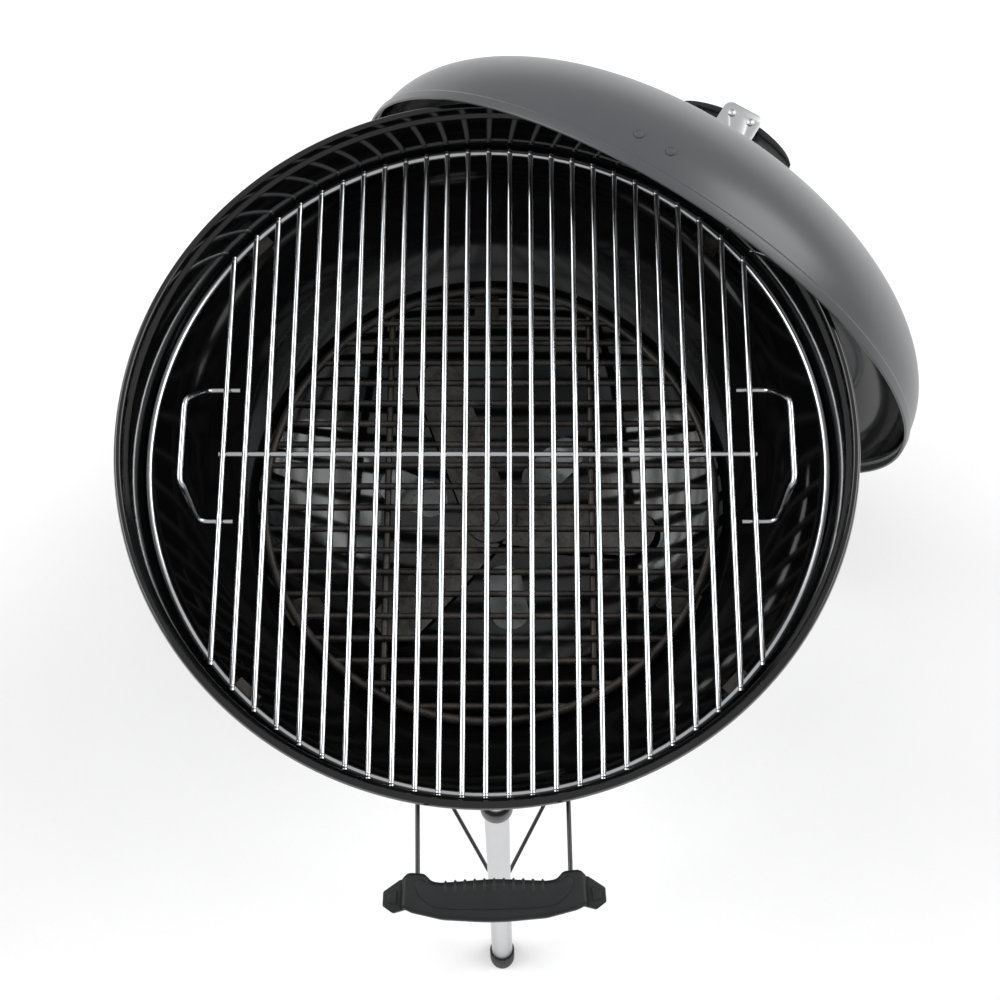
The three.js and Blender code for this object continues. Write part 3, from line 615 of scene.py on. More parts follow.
def coated_wire():
    # Steel wire dipped in black paint: nearly smooth, half gloss, with a few thin runs.
    return finish("black_coated_wire", linear("#0e0e10"), linear("#1d1d20"), gloss=(0.26, 0.38), ior=1.5,
                  grain_mm=4, relief_mm=0.05, blotch_mm=25)


def filled_nylon():
    # Glass-filled nylon from a spark-eroded mould: a dry pebble texture, drawn at 1.1 mm, as coarse
    # as it needs to show.
    return finish("glass_filled_nylon", *chosen("grip_colour", 0.14), gloss=(0.42, 0.54),
                  ior=1.53, mirror=0.25, grain_mm=1.1, relief_mm=0.06, blotch_mm=18)


def moulded_wheel():
    # Blow-moulded polyethylene wheel: waxy black with scuffs and dust in the tread.
    return finish("moulded_polyethylene", linear("#17171a"), linear("#2b2b2d"), gloss=(0.45, 0.62), ior=1.51,
                  grain_mm=2, relief_mm=0.08, blotch_mm=20, specks_mm=6)


def soft_rubber():
    # Pressed vinyl end cap: dull and slightly dusty.
    return finish("pressed_vinyl", linear("#1c1c1d"), linear("#2e2e2f"), gloss=(0.5, 0.66), ior=1.5,
                  mirror=0.25, grain_mm=1.5, relief_mm=0.05, blotch_mm=12)


def zinc_steel():
    # Cold-drawn rod with bright zinc: grey, with a faint spangle about 5 mm across.
    return finish("zinc_plated_steel", linear("#8f9194"), linear("#b4b7ba"), gloss=(0.26, 0.42), metallic=1.0,
                  grain_mm=5, relief_mm=0.015, blotch_mm=10)


def studio_paper():
    # Seamless paper sweep: matt, nearly white, with a fibre grain too faint to distract.
    return finish("seamless_paper", linear("#f6f6f6"), linear("#fbfbfb"), gloss=(0.8, 0.9), ior=1.3,
                  grain_mm=3, relief_mm=0.01, blotch_mm=400)


def made(maker):
    """The finish a maker makes, made only once."""
    key = "finish_" + maker.__name__
    if key not in bpy.context.scene:
        bpy.context.scene[key] = maker().name
    return bpy.data.materials[bpy.context.scene[key]]


# ---- stage ----
CAMERA_TARGET = Vector((9.63, -56.94, 0.0))
CAMERA_DISTANCE, CAMERA_AZIMUTH, CAMERA_ELEVATION, CAMERA_ROLL = 1136.2, 0.642, 72.986, -1.775
CAMERA_LENS, SENSOR = 54.0, 36.0
SOFTBOX_OUT, SOFTBOX_UP, SOFTBOX_SIZE = 5.0, 5.0, 5.0


def add_camera():
    azimuth, elevation, roll = (math.radians(a) for a in (CAMERA_AZIMUTH, CAMERA_ELEVATION, CAMERA_ROLL))
    level_run = math.cos(elevation)
    back = Vector((math.sin(azimuth) * level_run, -math.cos(azimuth) * level_run, math.sin(elevation)))
    right = (-back).cross(Vector((0, 0, 1))).normalized()
    up = right.cross(-back)
    level = right * math.cos(roll) + up * math.sin(roll)
    upright = up * math.cos(roll) - right * math.sin(roll)
    data = bpy.data.cameras.new("camera")
    data.lens, data.sensor_width = CAMERA_LENS, SENSOR
    data.clip_start, data.clip_end = 0.05, 50.0
    camera = bpy.data.objects.new("camera", data)
    bpy.context.scene.collection.objects.link(camera)
    turn = Matrix((level, upright, back)).transposed().to_4x4()
    camera.matrix_world = Matrix.Translation(GRILL @ (CAMERA_TARGET + back * CAMERA_DISTANCE)) @ turn
    bpy.context.scene.camera = camera


def add_softbox(name, place, aim, size, watts):
    light = bpy.data.lights.new(name, "AREA")
    light.shape, light.size, light.energy = "DISK", size, watts
    lamp = bpy.data.objects.new(name, light)
    bpy.context.scene.collection.objects.link(lamp)
    lamp.location = place
    lamp.rotation_euler = (Vector(aim) - Vector(place)).to_track_quat("-Z", "Y").to_euler()


class GRILL_OT_stage(bpy.types.Operator):
    """Floor, soft studio light and the camera"""

    bl_idname = "grill.stage"
    bl_label = "Stage"

    def execute(self, context):
        settings = context.scene.grill
        half = settings.floor_size / 2
        floor = bpy.data.meshes.new("studio_floor")
        corners = [(-half, -half, 0), (half, -half, 0), (half, half, 0), (-half, half, 0)]
        floor.from_pydata(corners, [], [(0, 1, 2, 3)])
        floor.transform(Matrix.Translation((0, 0, -0.001)))
        floor.materials.append(made(studio_paper))
        sweep = bpy.data.objects.new("studio_floor", floor)
        context.scene.collection.objects.link(sweep)
        world = bpy.data.worlds.new("studio")
        world.use_nodes = True
        sky = world.node_tree.nodes["Background"].inputs
        sky["Color"].default_value = (1.0, 1.0, 1.0, 1.0)
        sky["Strength"].default_value = settings.sky_strength
        context.scene.world = world
        context.scene.view_settings.view_transform = "Standard"
        for side, across in (("left", -1), ("right", 1)):
            add_softbox("softbox_" + side, (across * SOFTBOX_OUT, 1.5, SOFTBOX_UP), (0, 0, 0.5),
                        SOFTBOX_SIZE, settings.softbox_watts)
        add_camera()
        return {"FINISHED"}


# ---- bowl ----
def bowl_side(offset, count=44):
    """Points down the bowl's side from its straight collar to the hole at the bottom."""
    most = math.acos(BOWL_HOLE / (BOWL_INNER + offset))
    turns = [most * k / count for k in range(count + 1)]
    across, down = BOWL_INNER + offset, BOWL_DEPTH + offset
    return [(across * math.cos(t), -BOWL_STRAIGHT - down * math.sin(t)) for t in turns]


def bowl_height(radius, offset=0.0):
    share = min(radius / (BOWL_INNER + offset), 1.0)
    return -BOWL_STRAIGHT - (BOWL_DEPTH + offset) * math.sqrt(1 - share * share)


def bowl_core():
    """The bowl and its hollow as one solid, grown by the gap, to trim what meets its outside."""
    offset = BOWL_WALL + GAP
    side = [(BOWL_INNER + offset, 0.0)] + bowl_side(offset)
    return turned([(0.0, 0.0)] + side + [(0.0, side[-1][1])], 128)


class GRILL_OT_bowl(bpy.types.Operator):
    """Enamelled bowl with its rolled rim and three ash slots"""

    bl_idname = "grill.bowl"
    bl_label = "Bowl"

    def execute(self, context):
        outer, inner = BOWL_INNER + BOWL_WALL, BOWL_INNER
        rim = rounded([
            (outer, -60, 0), (outer, -13, 3), (286.6, -9, 2), (287.5, -4.5, 3), (286, 0, 2.2),
            (281.2, 0, 1.6), (281, -8.2, 1.2), (inner, -11, 2), (inner, -60, 0),
        ], 6)[1:-1]
        profile = bowl_side(BOWL_WALL)[::-1] + rim + bowl_side(0)
        slots = []
        for angle in VENT_ANGLES:
            radius = VENT_WIDTH / 2
            outline = rounded([
                (VENT_FROM, -radius, radius), (VENT_TO, -radius, radius), (VENT_TO, radius, radius),
                (VENT_FROM, radius, radius)], 10)
            slots.append(moved(prism(outline, -275, -205), Matrix.Rotation(math.radians(angle), 4, "Z")))
        shell = pierced(new_mesh(turned(profile, 192, closed=True)), *slots)
        settle("bowl_shell", shell, "base", ["bowl"], [made(black_enamel)])
        return {"FINISHED"}


# ---- grates ----
def turn_about_axis(angle):
    return GRILL @ Matrix.Rotation(angle, 4, "Z")


class GRILL_OT_cooking_grate(bpy.types.Operator):
    """Plated cooking grate and its two raised handles"""

    bl_idname = "grill.cooking_grate"
    bl_label = "Cooking grate"

    def execute(self, context):
        settings = context.scene.grill
        rod, steel = settings.rod_diameter / 2 / MM, made(plated_wire)
        lift = 1.2
        reach = (settings.rod_count - 1) / 2 * ROD_PITCH + 4
        bar_z = lift - rod - 1.4
        grate = grown(
            "welded_grate", path_mesh([(-reach, 0, bar_z), (reach, 0, bar_z)]), Ring_Radius=GRATE_RING,
            Ring_Wire=3.0, Rod_Wire=rod, Bar_Wire=2.5, Rods=settings.rod_count, Pitch=ROD_PITCH,
            Overrun=2.2, Rod_Lift=lift, Material=steel)
        place = turn_about_axis(GRATE_TURN) @ Matrix.Translation((0, 0, GRATE_Z))
        settle("cooking_grate_wires", grate, "cooking_grate", ["cooking_grate"], place=place)
        low = -rod - 2.7
        half = [
            (LOOP_FOOT_X, LOOP_HALF, low), (LOOP_OUT_X, LOOP_HALF, low),
            (LOOP_OUT_X + 6, LOOP_HALF - 19, low + LOOP_RISE),
            (LOOP_OUT_X + 8.5, LOOP_HALF - 23, low + LOOP_RISE + 3)]
        loop = bend([(x, -y, z) for x, y, z in half] + half[::-1], 9)
        for side, turn in (("right", 0.0), ("left", math.pi)):
            handle = wires([loop], LOOP_WIRE, steel)
            settle("grate_loop_" + side, handle, "cooking_grate", ["grate_handle_" + side],
                   place=place @ Matrix.Rotation(turn, 4, "Z"))
        return {"FINISHED"}


class GRILL_OT_charcoal_grate(bpy.types.Operator):
    """Dark steel grate that carries the charcoal, and the shelves that hold both grates"""

    bl_idname = "grill.charcoal_grate"
    bl_label = "Charcoal grate"

    def execute(self, context):
        steel = made(stained_steel)
        bars = []
        for y in (-COAL_BAR_Y, COAL_BAR_Y):
            half = math.sqrt(COAL_RING**2 - y**2)
            bars.append([(-half, y, -4.6), (half, y, -4.6)])
        grate = grown(
            "welded_grate", path_mesh(*bars), Ring_Radius=COAL_RING, Ring_Wire=4.0, Rod_Wire=3.0,
            Bar_Wire=3.0, Rods=20, Pitch=COAL_PITCH, Overrun=0.0, Rod_Lift=0.0, Material=steel)
        place = turn_about_axis(math.pi / 2 + GRATE_TURN) @ Matrix.Translation((0, 0, COAL_Z))
        settle("charcoal_grate_bars", grate, "charcoal_grate", ["charcoal_grate"], place=place)
        for node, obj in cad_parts.items():
            if "_bracket_" in node:
                obj.data.materials.clear()
                obj.data.materials.append(steel)
        return {"FINISHED"}


# ---- ash sweeper ----
class GRILL_OT_sweeper(bpy.types.Operator):
    """Three blades on a shaft through the bowl, turned by a lever outside"""

    bl_idname = "grill.sweeper"
    bl_label = "Ash sweeper"

    def execute(self, context):
        sheet, bright = made(sooted_aluminium), made(mill_aluminium)
        start, end, half_width, lift, thick = 14.0, 150.0, 22.0, 5.5, 2.0
        for number, angle in enumerate((-10, 110, 230), 1):
            rings = []
            for k in range(33):
                share = k / 32
                radius = start + (end - start) * (1 - (1 - share) ** 1.4)
                past = max(radius - (end - half_width), 0.0)
                half = max(math.sqrt(max(half_width**2 - past**2, 0.0)), 1.0)
                height = bowl_height(radius) + lift
                rings.append([
                    (radius, -half, height), (radius, half, height),
                    (radius, half, height + thick), (radius, -half, height + thick)])
            blade = bevelled(new_mesh(lofted(rings)), 0.5, 2, 50)
            settle(f"sweeper_blade_{number}", blade, "sweeper", [f"blade_{number}"], [sheet],
                   place=turn_about_axis(math.radians(angle)))
        hub = bowl_height(26.0) + lift + thick + GAP
        profile = rounded([
            (0, -286, 0), (6, -286, 1), (6, hub, 0.5), (24, hub, 0.6), (24, hub + 2, 0.8), (8, hub + 2.6, 3),
            (7, hub + 4, 1), (0, hub + 4, 0)], 4)
        spindle = new_mesh(turned(profile, 48))
        settle("sweeper_spindle", spindle, "sweeper", ["sweeper_shaft"], [sheet])
        arm_outline = rounded([
            (13, -8, 1), (222, -8, 1), (238, -8, 5), (241, 0, 3), (238, 8, 5), (222, 8, 1), (13, 8, 1)], 4)
        arm = bevelled(new_mesh(prism(arm_outline, -282, -278)), 0.6, 2)
        collar = new_mesh(turned(rounded([
            (6.3, -282, 0.5), (15, -282, 0.8), (15, -270, 1.5), (6.3, -270, 0.8)], 4), 48, closed=True))
        lever_place = turn_about_axis(math.radians(200))
        settle("sweeper_lever", merged(arm, collar), "sweeper", ["lever"], [bright],
               place=lever_place)
        outline = rounded([
            (200, -9, 3), (212, -12, 8), (252, -12, 8), (262, -6, 5), (262, 6, 5), (252, 12, 8),
            (212, 12, 8), (200, 9, 3)], 6)
        grip = bevelled(new_mesh(prism(outline, -286.5, -273.5)), 3.2, 4)
        settle("sweeper_grip", grip, "sweeper", ["lever_grip"], [made(filled_nylon)],
               place=lever_place)
        return {"FINISHED"}


# ---- legs ----
def painted_collar(side, z, paint):
    """A clamp collar round a leg."""
    inner, half = LEG_OUTER + GAP, COLLAR_HEIGHT / 2
    profile = rounded([
        (inner, -half, 0.4), (COLLAR_OUTER, -half, 1), (COLLAR_OUTER, half, 1), (inner, half, 0.4)], 3)
    mesh = new_mesh(moved(turned(profile, 40, closed=True), leg_frame(side, z)))
    mesh.materials.append(paint)
    return mesh


class GRILL_OT_legs(bpy.types.Operator):
    """Three tube legs with their sockets and end caps"""

    bl_idname = "grill.legs"
    bl_label = "Legs"

    def execute(self, context):
        core = bowl_core()
        for side, (_, splay, bottom) in LEGS.items():
            slant = math.cos(math.radians(splay))
            length = (LEG_TOP_Z - bottom) / slant
            wall = rounded([
                (LEG_INNER, 0, 0.3), (LEG_OUTER, 0, 0.5), (LEG_OUTER, length, 0.3),
                (LEG_INNER, length, 0.3)], 3)
            pipe = new_mesh(moved(turned(wall, 48, closed=True), leg_frame(side, bottom)))
            settle("leg_tube_" + side, pierced(pipe, core), "base", ["leg_" + side],
                   [made(satin_aluminium)])
            sleeve = rounded([
                (LEG_OUTER + GAP, -44, 0.5), (14, -44, 1.2), (14, 20, 0), (LEG_OUTER + GAP, 20, 0)], 3)
            socket = new_mesh(moved(turned(sleeve, 48, closed=True), leg_frame(side, LEG_TOP_Z)))
            settle("leg_sleeve_" + side, pierced(socket, core), "base",
                   ["leg_socket_" + side], [made(black_enamel)])
            self.add_foot(side, bottom)
        return {"FINISHED"}

    def add_foot(self, side, bottom):
        low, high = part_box("foot_" + side)
        floor = low.z / MM + FLOOR_Z
        top = (high.z / MM + FLOOR_Z - bottom) - 3
        inner, outer = LEG_OUTER + GAP, 13.6
        cup = rounded([
            (0, -60, 0), (outer, -60, 0), (outer, top, 0.9), (inner, top, 0.4), (inner, -0.4, 0),
            (0, -0.4, 0)], 4)
        cap = new_mesh(moved(turned(cup, 48), leg_frame(side, bottom)))
        at = leg_point(side, bottom)
        square = [(at.x + x, at.y + y) for x, y in ((-90, -90), (90, -90), (90, 90), (-90, 90))]
        ground = prism(square, floor - 90, floor)
        cap = bevelled(pierced(cap, ground), 1.0, 3, 40)
        settle("foot_cap_" + side, cap, "base", ["foot_" + side], [made(soft_rubber)])


# ---- wheels ----
class GRILL_OT_wheels(bpy.types.Operator):
    """Two moulded wheels with spokes and tread, their axle and hub caps"""

    bl_idname = "grill.wheels"
    bl_label = "Wheels"

    def execute(self, context):
        settings = context.scene.grill
        low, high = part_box("axle")
        middle = GRILL.inverted() @ ((low + high) / 2)
        plastic, steel = made(moulded_wheel), made(zinc_steel)
        half = (high.x - low.x) / 2 / MM
        rod = rounded([(0, -half, 0), (5, -half, 1), (5, half, 1), (0, half, 0)], 3)
        sideways = Matrix.Rotation(math.pi / 2, 4, "Y")
        settle("axle_rod", new_mesh(turned(rod, 32)), "base", ["axle"], [steel],
               place=GRILL @ Matrix.Translation((0, middle.y, middle.z)) @ sideways)
        for side, sign in (("right", 1), ("left", -1)):
            turn = Matrix.Rotation(sign * math.pi / 2, 4, "Y")
            place = GRILL @ Matrix.Translation((sign * WHEEL_X, middle.y, middle.z)) @ turn
            wheel = self.wheel(plastic, settings.tread_lugs, settings.spokes)
            settle("moulded_wheel_" + side, wheel, "wheel_" + side, ["wheel_" + side],
                   place=place)
            outer = WHEEL_WIDTH + 1
            cap = turned(rounded([
                (0, outer + 4.6, 0), (5.3, outer + 4.6, 0.3), (5.3, outer, 0.3), (11, outer, 0.8),
                (11, outer + 5, 2), (6, outer + 7, 3), (0, outer + 7, 0)], 5), 40)
            settle("hub_cover_" + side, new_mesh(cap), "base", ["hub_cap_" + side],
                   [made(satin_aluminium)], place=place)
        return {"FINISHED"}

    def wheel(self, plastic, lugs, spokes):
        """Tyre ring, hub and a dished web, with spokes on both faces and lugs round the tread."""
        tyre = turned(rounded([
            (57, 11, 2), (61, 2, 2), (69, 0.3, 3), (75, 5, 3), (75, 33, 3), (69, 37.7, 3), (61, 36, 2),
            (57, 27, 2)], 4), 96, closed=True)
        hub = turned(rounded([
            (5.4, 0, 0.5), (15, 0, 1.5), (16, 38, 1.5), (5.4, 38, 0.5)], 4), 48, closed=True)
        web = turned(rounded([(14, 15, 0), (58, 17, 0), (58, 21, 0), (14, 23, 0)], 2), 64, closed=True)
        core = new_mesh(tyre, hub, web)
        core.materials.append(plastic)
        rib = bevelled(new_mesh(prism([(13, -3.2), (59, -2.2), (59, 2.2), (13, 3.2)], 9, 29)), 0.8, 2)
        lug = bevelled(new_mesh(prism([(74.2, -1.9), (75.9, -1.4), (75.9, 1.4), (74.2, 1.9)], 7, 31)), 0.4, 2)
        ribs = grown("ring_of_parts", rib, Count=spokes, Material=plastic)
        tread = grown("ring_of_parts", lug, Count=lugs, Material=plastic)
        return merged(core, ribs, tread)


# ---- wire rack and ash pan ----
class GRILL_OT_rack(bpy.types.Operator):
    """Wire rack between the legs"""

    bl_idname = "grill.rack"
    bl_label = "Wire rack"

    def execute(self, context):
        paint, rows = made(coated_wire), context.scene.grill.rack_rows
        corners = [leg_point(side, RACK_Z) for side in LEGS]
        centre = sum(corners, Vector()) / 3
        inner = [p.lerp(centre, RACK_INSET) for p in corners]
        trimmed = []
        for i in range(3):
            a, b = corners[i], corners[(i + 1) % 3]
            trimmed.append([a + (b - a).normalized() * 13, b - (b - a).normalized() * 13])
            trimmed.append([a + (inner[i] - a).normalized() * 13, inner[i]])
        thin = [[inner[i], inner[(i + 1) % 3]] for i in range(3)]
        for k in range(1, rows + 1):
            share = RACK_INSET + (1 - RACK_INSET) * k / (rows + 1)
            thin.append([corners[0].lerp(corners[2], share), corners[0].lerp(corners[1], share)])
        rack = merged(
            wires(trimmed, RACK_WIRE, paint), wires(thin, RACK_CROSS, paint),
            *[painted_collar(side, RACK_Z, paint) for side in LEGS])
        settle("rack_wires", rack, "base", ["wire_rack"])
        return {"FINISHED"}


class GRILL_OT_ash_pan(bpy.types.Operator):
    """Spun ash pan and the wire ring that carries it"""

    bl_idname = "grill.ash_pan"
    bl_label = "Ash pan"

    def execute(self, context):
        paint = made(coated_wire)
        ring_z, ring_r, collar_z = -336.9, 143.6, -300.0
        ring = [polar(ring_r, 3 * k, ring_z) for k in range(121)]
        ring[-1] = ring[0]
        arms = []
        for side, (angle, _, _) in LEGS.items():
            leg = leg_point(side, collar_z)
            arms.append(bend([
                polar(ring_r, angle, ring_z), polar(ring_r + 14, angle, ring_z), leg - polar(12, angle)], 10))
        collars = [painted_collar(side, collar_z, paint) for side in LEGS]
        holder = merged(wires([ring, *arms], 3.0, paint), *collars)
        settle("ash_pan_ring", holder, "base", ["ash_pan_holder"])
        top, depth, sheet = -332.0, 42.0, 1.6
        floor = top - depth
        profile = rounded([
            (0, floor - sheet, 0), (112, floor - sheet, 10), (132, floor + 12, 14), (138, top - sheet, 2.4),
            (151, top - sheet, 1.2), (152, top + 1.5, 0.8), (150.2, top + 1.5, 0.6), (149.6, top, 1),
            (136.4, top, 1.5), (130.4, floor + 12, 12), (111, floor, 9), (0, floor, 0)], 6)
        dish = new_mesh(turned(profile, 96))
        settle("ash_dish", dish, "ash_pan", ["ash_pan"], [made(mill_aluminium)])
        return {"FINISHED"}


# ---- front handle ----
HANDLE_Z, HANDLE_X, HANDLE_Y = -34.0, 55.5, -346.0


class GRILL_OT_front_handle(bpy.types.Operator):
    """Two grip shells with finger ridges and tool hooks, on a bent wire"""

    bl_idname = "grill.front_handle"
    bl_label = "Front handle"

    def execute(self, context):
        nylon, paint = made(filled_nylon), made(coated_wire)
        wall = -math.sqrt((BOWL_INNER + BOWL_WALL + 3.3) ** 2 - HANDLE_X**2)
        path = bend([
            (-HANDLE_X, wall, HANDLE_Z), (-HANDLE_X, HANDLE_Y, HANDLE_Z), (HANDLE_X, HANDLE_Y, HANDLE_Z),
            (HANDLE_X, wall, HANDLE_Z)], 6)
        plates = []
        for sign in (-1, 1):
            angle = -90 + sign * math.degrees(math.asin(HANDLE_X / (BOWL_INNER + BOWL_WALL)))
            outline = rounded([(x, z, 4) for x, z in ((-12, -9), (12, -9), (12, 9), (-12, 9))], 4)
            body = [[(281.0 + t, x, HANDLE_Z + z) for x, z in outline] for t in (0, 3)]
            plates.append(moved(lofted(body), Matrix.Rotation(math.radians(angle), 4, "Z")))
        mount = bevelled(new_mesh(*plates), 0.5, 2)
        mount.materials.append(paint)
        settle("handle_bail", merged(wires([path], 1.7, paint), mount), "base", ["handle_wire"])
        self.add_shell("upper", 1, nylon, context.scene.grill.ridge_count)
        self.add_shell("lower", -1, nylon, context.scene.grill.ridge_count)
        return {"FINISHED"}

    def add_shell(self, name, up, nylon, ridges):
        def between(low, high):
            return sorted((HANDLE_Z + up * low, HANDLE_Z + up * high))

        half = [
            (38, -336, 8), (45, -335, 8), (50, -329.5, 6), (62, -328.5, 6), (66.5, -333, 4), (67.5, -353, 4),
            (60, -356.5, 10), (38, -361.8, 30)]
        mirrored = [(-x, y, r) for x, y, r in half[::-1]]
        crown = [(0, -364.5, 200)]
        outline = rounded(half + crown + mirrored + [(0, -334, 120)], 7)
        body = bevelled(new_mesh(prism(outline, *between(GAP / 2, 11.2))), 3.6, 5, 50)
        pad_half = [
            (36, -338.5, 6), (47, -336.5, 8), (54, -332, 4), (57.5, -337, 6), (54, -346, 14),
            (44, -353.6, 14), (30, -355.2, 40)]
        pad_mirror = [(-x, y, r) for x, y, r in pad_half[::-1]]
        pad_outline = rounded(pad_half + [(0, -355.8, 200)] + pad_mirror + [(0, -336.6, 100)], 7)
        pad = bevelled(new_mesh(prism(pad_outline, *between(9, 12))), 0.9, 3, 50)
        hooks = []
        for sign in (-1, 1):
            hook = [
                (60, -332, 0), (68, -333.5, 1), (80, -341.5, 2), (80.5, -351.5, 2), (73.5, -356.5, 2),
                (60, -353, 0)]
            hook_outline = rounded([(sign * x, y, r) for x, y, r in hook], 4)
            hooks.append(bevelled(new_mesh(prism(hook_outline, *between(GAP / 2, 7.5))), 1.4, 3, 50))
            slot = [(70, -340, 1), (77, -344, 1), (77, -349, 1), (71, -351, 1)]
            slot_outline = rounded([(sign * x, y, r) for x, y, r in slot], 3)
            hooks.append(bevelled(new_mesh(prism(slot_outline, *between(6.5, 9.2))), 0.7, 2, 50))
        rib = new_mesh(self.ridge())
        row = grown("row_of_parts", rib, Count=ridges, Spacing=70.0 / (ridges - 1), Crown=1.4, Material=nylon)
        row.transform(Matrix.Translation((0, -340.4, HANDLE_Z + up * 5.9)))
        for part in (body, pad, *hooks):
            part.materials.append(nylon)
        shell = merged(body, pad, row, *hooks)
        settle("grip_shell_" + name, shell, "base", ["handle_grip_" + name])

    @staticmethod
    def ridge():
        """One finger ridge: a rounded bar over the grip's inner edge."""
        rings = []
        for k in range(11):
            turn = math.pi * (k / 10 - 0.5)
            z, size = 6.5 * math.sin(turn), max(math.cos(turn), 0.08) ** 0.5
            rings.append([
                (2.1 * size * math.cos(a), 7.4 * size * math.sin(a), z)
                for a in (2 * math.pi * j / 12 for j in range(12))])
        return lofted(rings)


# ---- lid ----
def dome_point(turn, offset):
    rise = DOME_TOP - DOME_BASE + offset
    return ((DOME_R + offset) * math.cos(turn), DOME_BASE + rise * math.sin(turn))


def dome_side(offset, count=56):
    return [dome_point(math.pi / 2 * k / count, offset) for k in range(count + 1)]


DAMPER_LATITUDE, DAMPER_R, DAMPER_RING, DAMPER_HOLE = math.radians(46), 38.0, 21.0, 9.0
DAMPER_AT = Vector((0, -dome_point(DAMPER_LATITUDE, 0)[0], dome_point(DAMPER_LATITUDE, 0)[1]))
DAMPER_OUT = Vector((
    0, -math.cos(DAMPER_LATITUDE) / DOME_R, math.sin(DAMPER_LATITUDE) / (DOME_TOP - DOME_BASE)))
DAMPER = along(DAMPER_AT, DAMPER_AT + DAMPER_OUT * 100)
HOOK_RIVET_Z, HOOK_RIVET_X, DAMPER_DISH = 28.0, 14.0, 620


def rod_body(start, end, radius, sides=24):
    length = (Vector(end) - Vector(start)).length
    return moved(turned([(0, 0), (radius, 0), (radius, length), (0, length)], sides), along(start, end))


def cross_rivet(profile, sides):
    """A turned rivet laid along Y."""
    return new_mesh(moved(turned(profile, sides), Matrix.Rotation(-math.pi / 2, 4, "X")))


def damper_tools(depth=14):
    tools = []
    for k in range(4):
        at = polar(DAMPER_RING, 90 * k + 45)
        tools.append(rod_body(at - Vector((0, 0, depth)), at + Vector((0, 0, depth)), DAMPER_HOLE, 40))
    tools.append(rod_body((0, 0, -depth), (0, 0, depth), 2.8))
    return tools


class GRILL_OT_lid(bpy.types.Operator):
    """Domed lid: smoke enamel outside and on the lip, black inside, with a band of painted reflection: smoke
    enamel on the black inner wall of the lip
    """

    bl_idname = "grill.lid"
    bl_label = "Lid"

    def execute(self, context):
        lip = rounded([
            (284.5, 30, 0), (284.5, 9.5, 1), (286.6, 7.5, 1), (286.6, 0, 1), (289, 0, 1.1), (289, 8, 1.6),
            (286.7, 9.8, 1.2), (286.5, 30, 0)], 5)[1:-1]
        profile = dome_side(-LID_SHEET)[:0:-1] + lip + dome_side(0)[1:]
        shell = new_mesh(turned(profile, 192))
        # Painted reflection: the inside of the lip, up to the band's height, gets smoke enamel, though that
        # wall is black enamel that only looks grey where it mirrors the bright surroundings at a grazing
        # angle.
        reflection_band = context.scene.grill.lip_reflection_band / MM
        for face in shell.polygons:
            middle = face.center
            out = middle.xy.length / (DOME_R - 1)
            up = max(middle.z - DOME_BASE, 0) / (DOME_TOP - DOME_BASE - 1)
            inside = out**2 + up**2 < 1
            face.material_index = 1 if inside and middle.z > reflection_band else 0
        shell.materials.append(made(smoke_enamel))
        shell.materials.append(made(black_enamel))
        tools = [moved(tool, DAMPER) for tool in damper_tools()]
        tools.append(rod_body((0, 0, DOME_TOP - 12), (0, 0, DOME_TOP + 12), 3.3))
        for x in (-HOOK_RIVET_X, HOOK_RIVET_X):
            tools.append(rod_body((x, 240, HOOK_RIVET_Z), (x, 320, HOOK_RIVET_Z), 2.5))
        settle("lid_dome", pierced(shell, *tools), "lid", ["lid"], place=LID)
        return {"FINISHED"}


GRIP_HALF, GRIP_WIDTH, GRIP_THICK, GRIP_TOP, GRIP_SAG = 63.0, 24.0, 8.0, 66.0, 14.0
BRACKET_WIDTH, BRACKET_SHEET, BRACKET_HEIGHT, BRACKET_RIVET = 40.0, 2.2, 72.0, 10.0


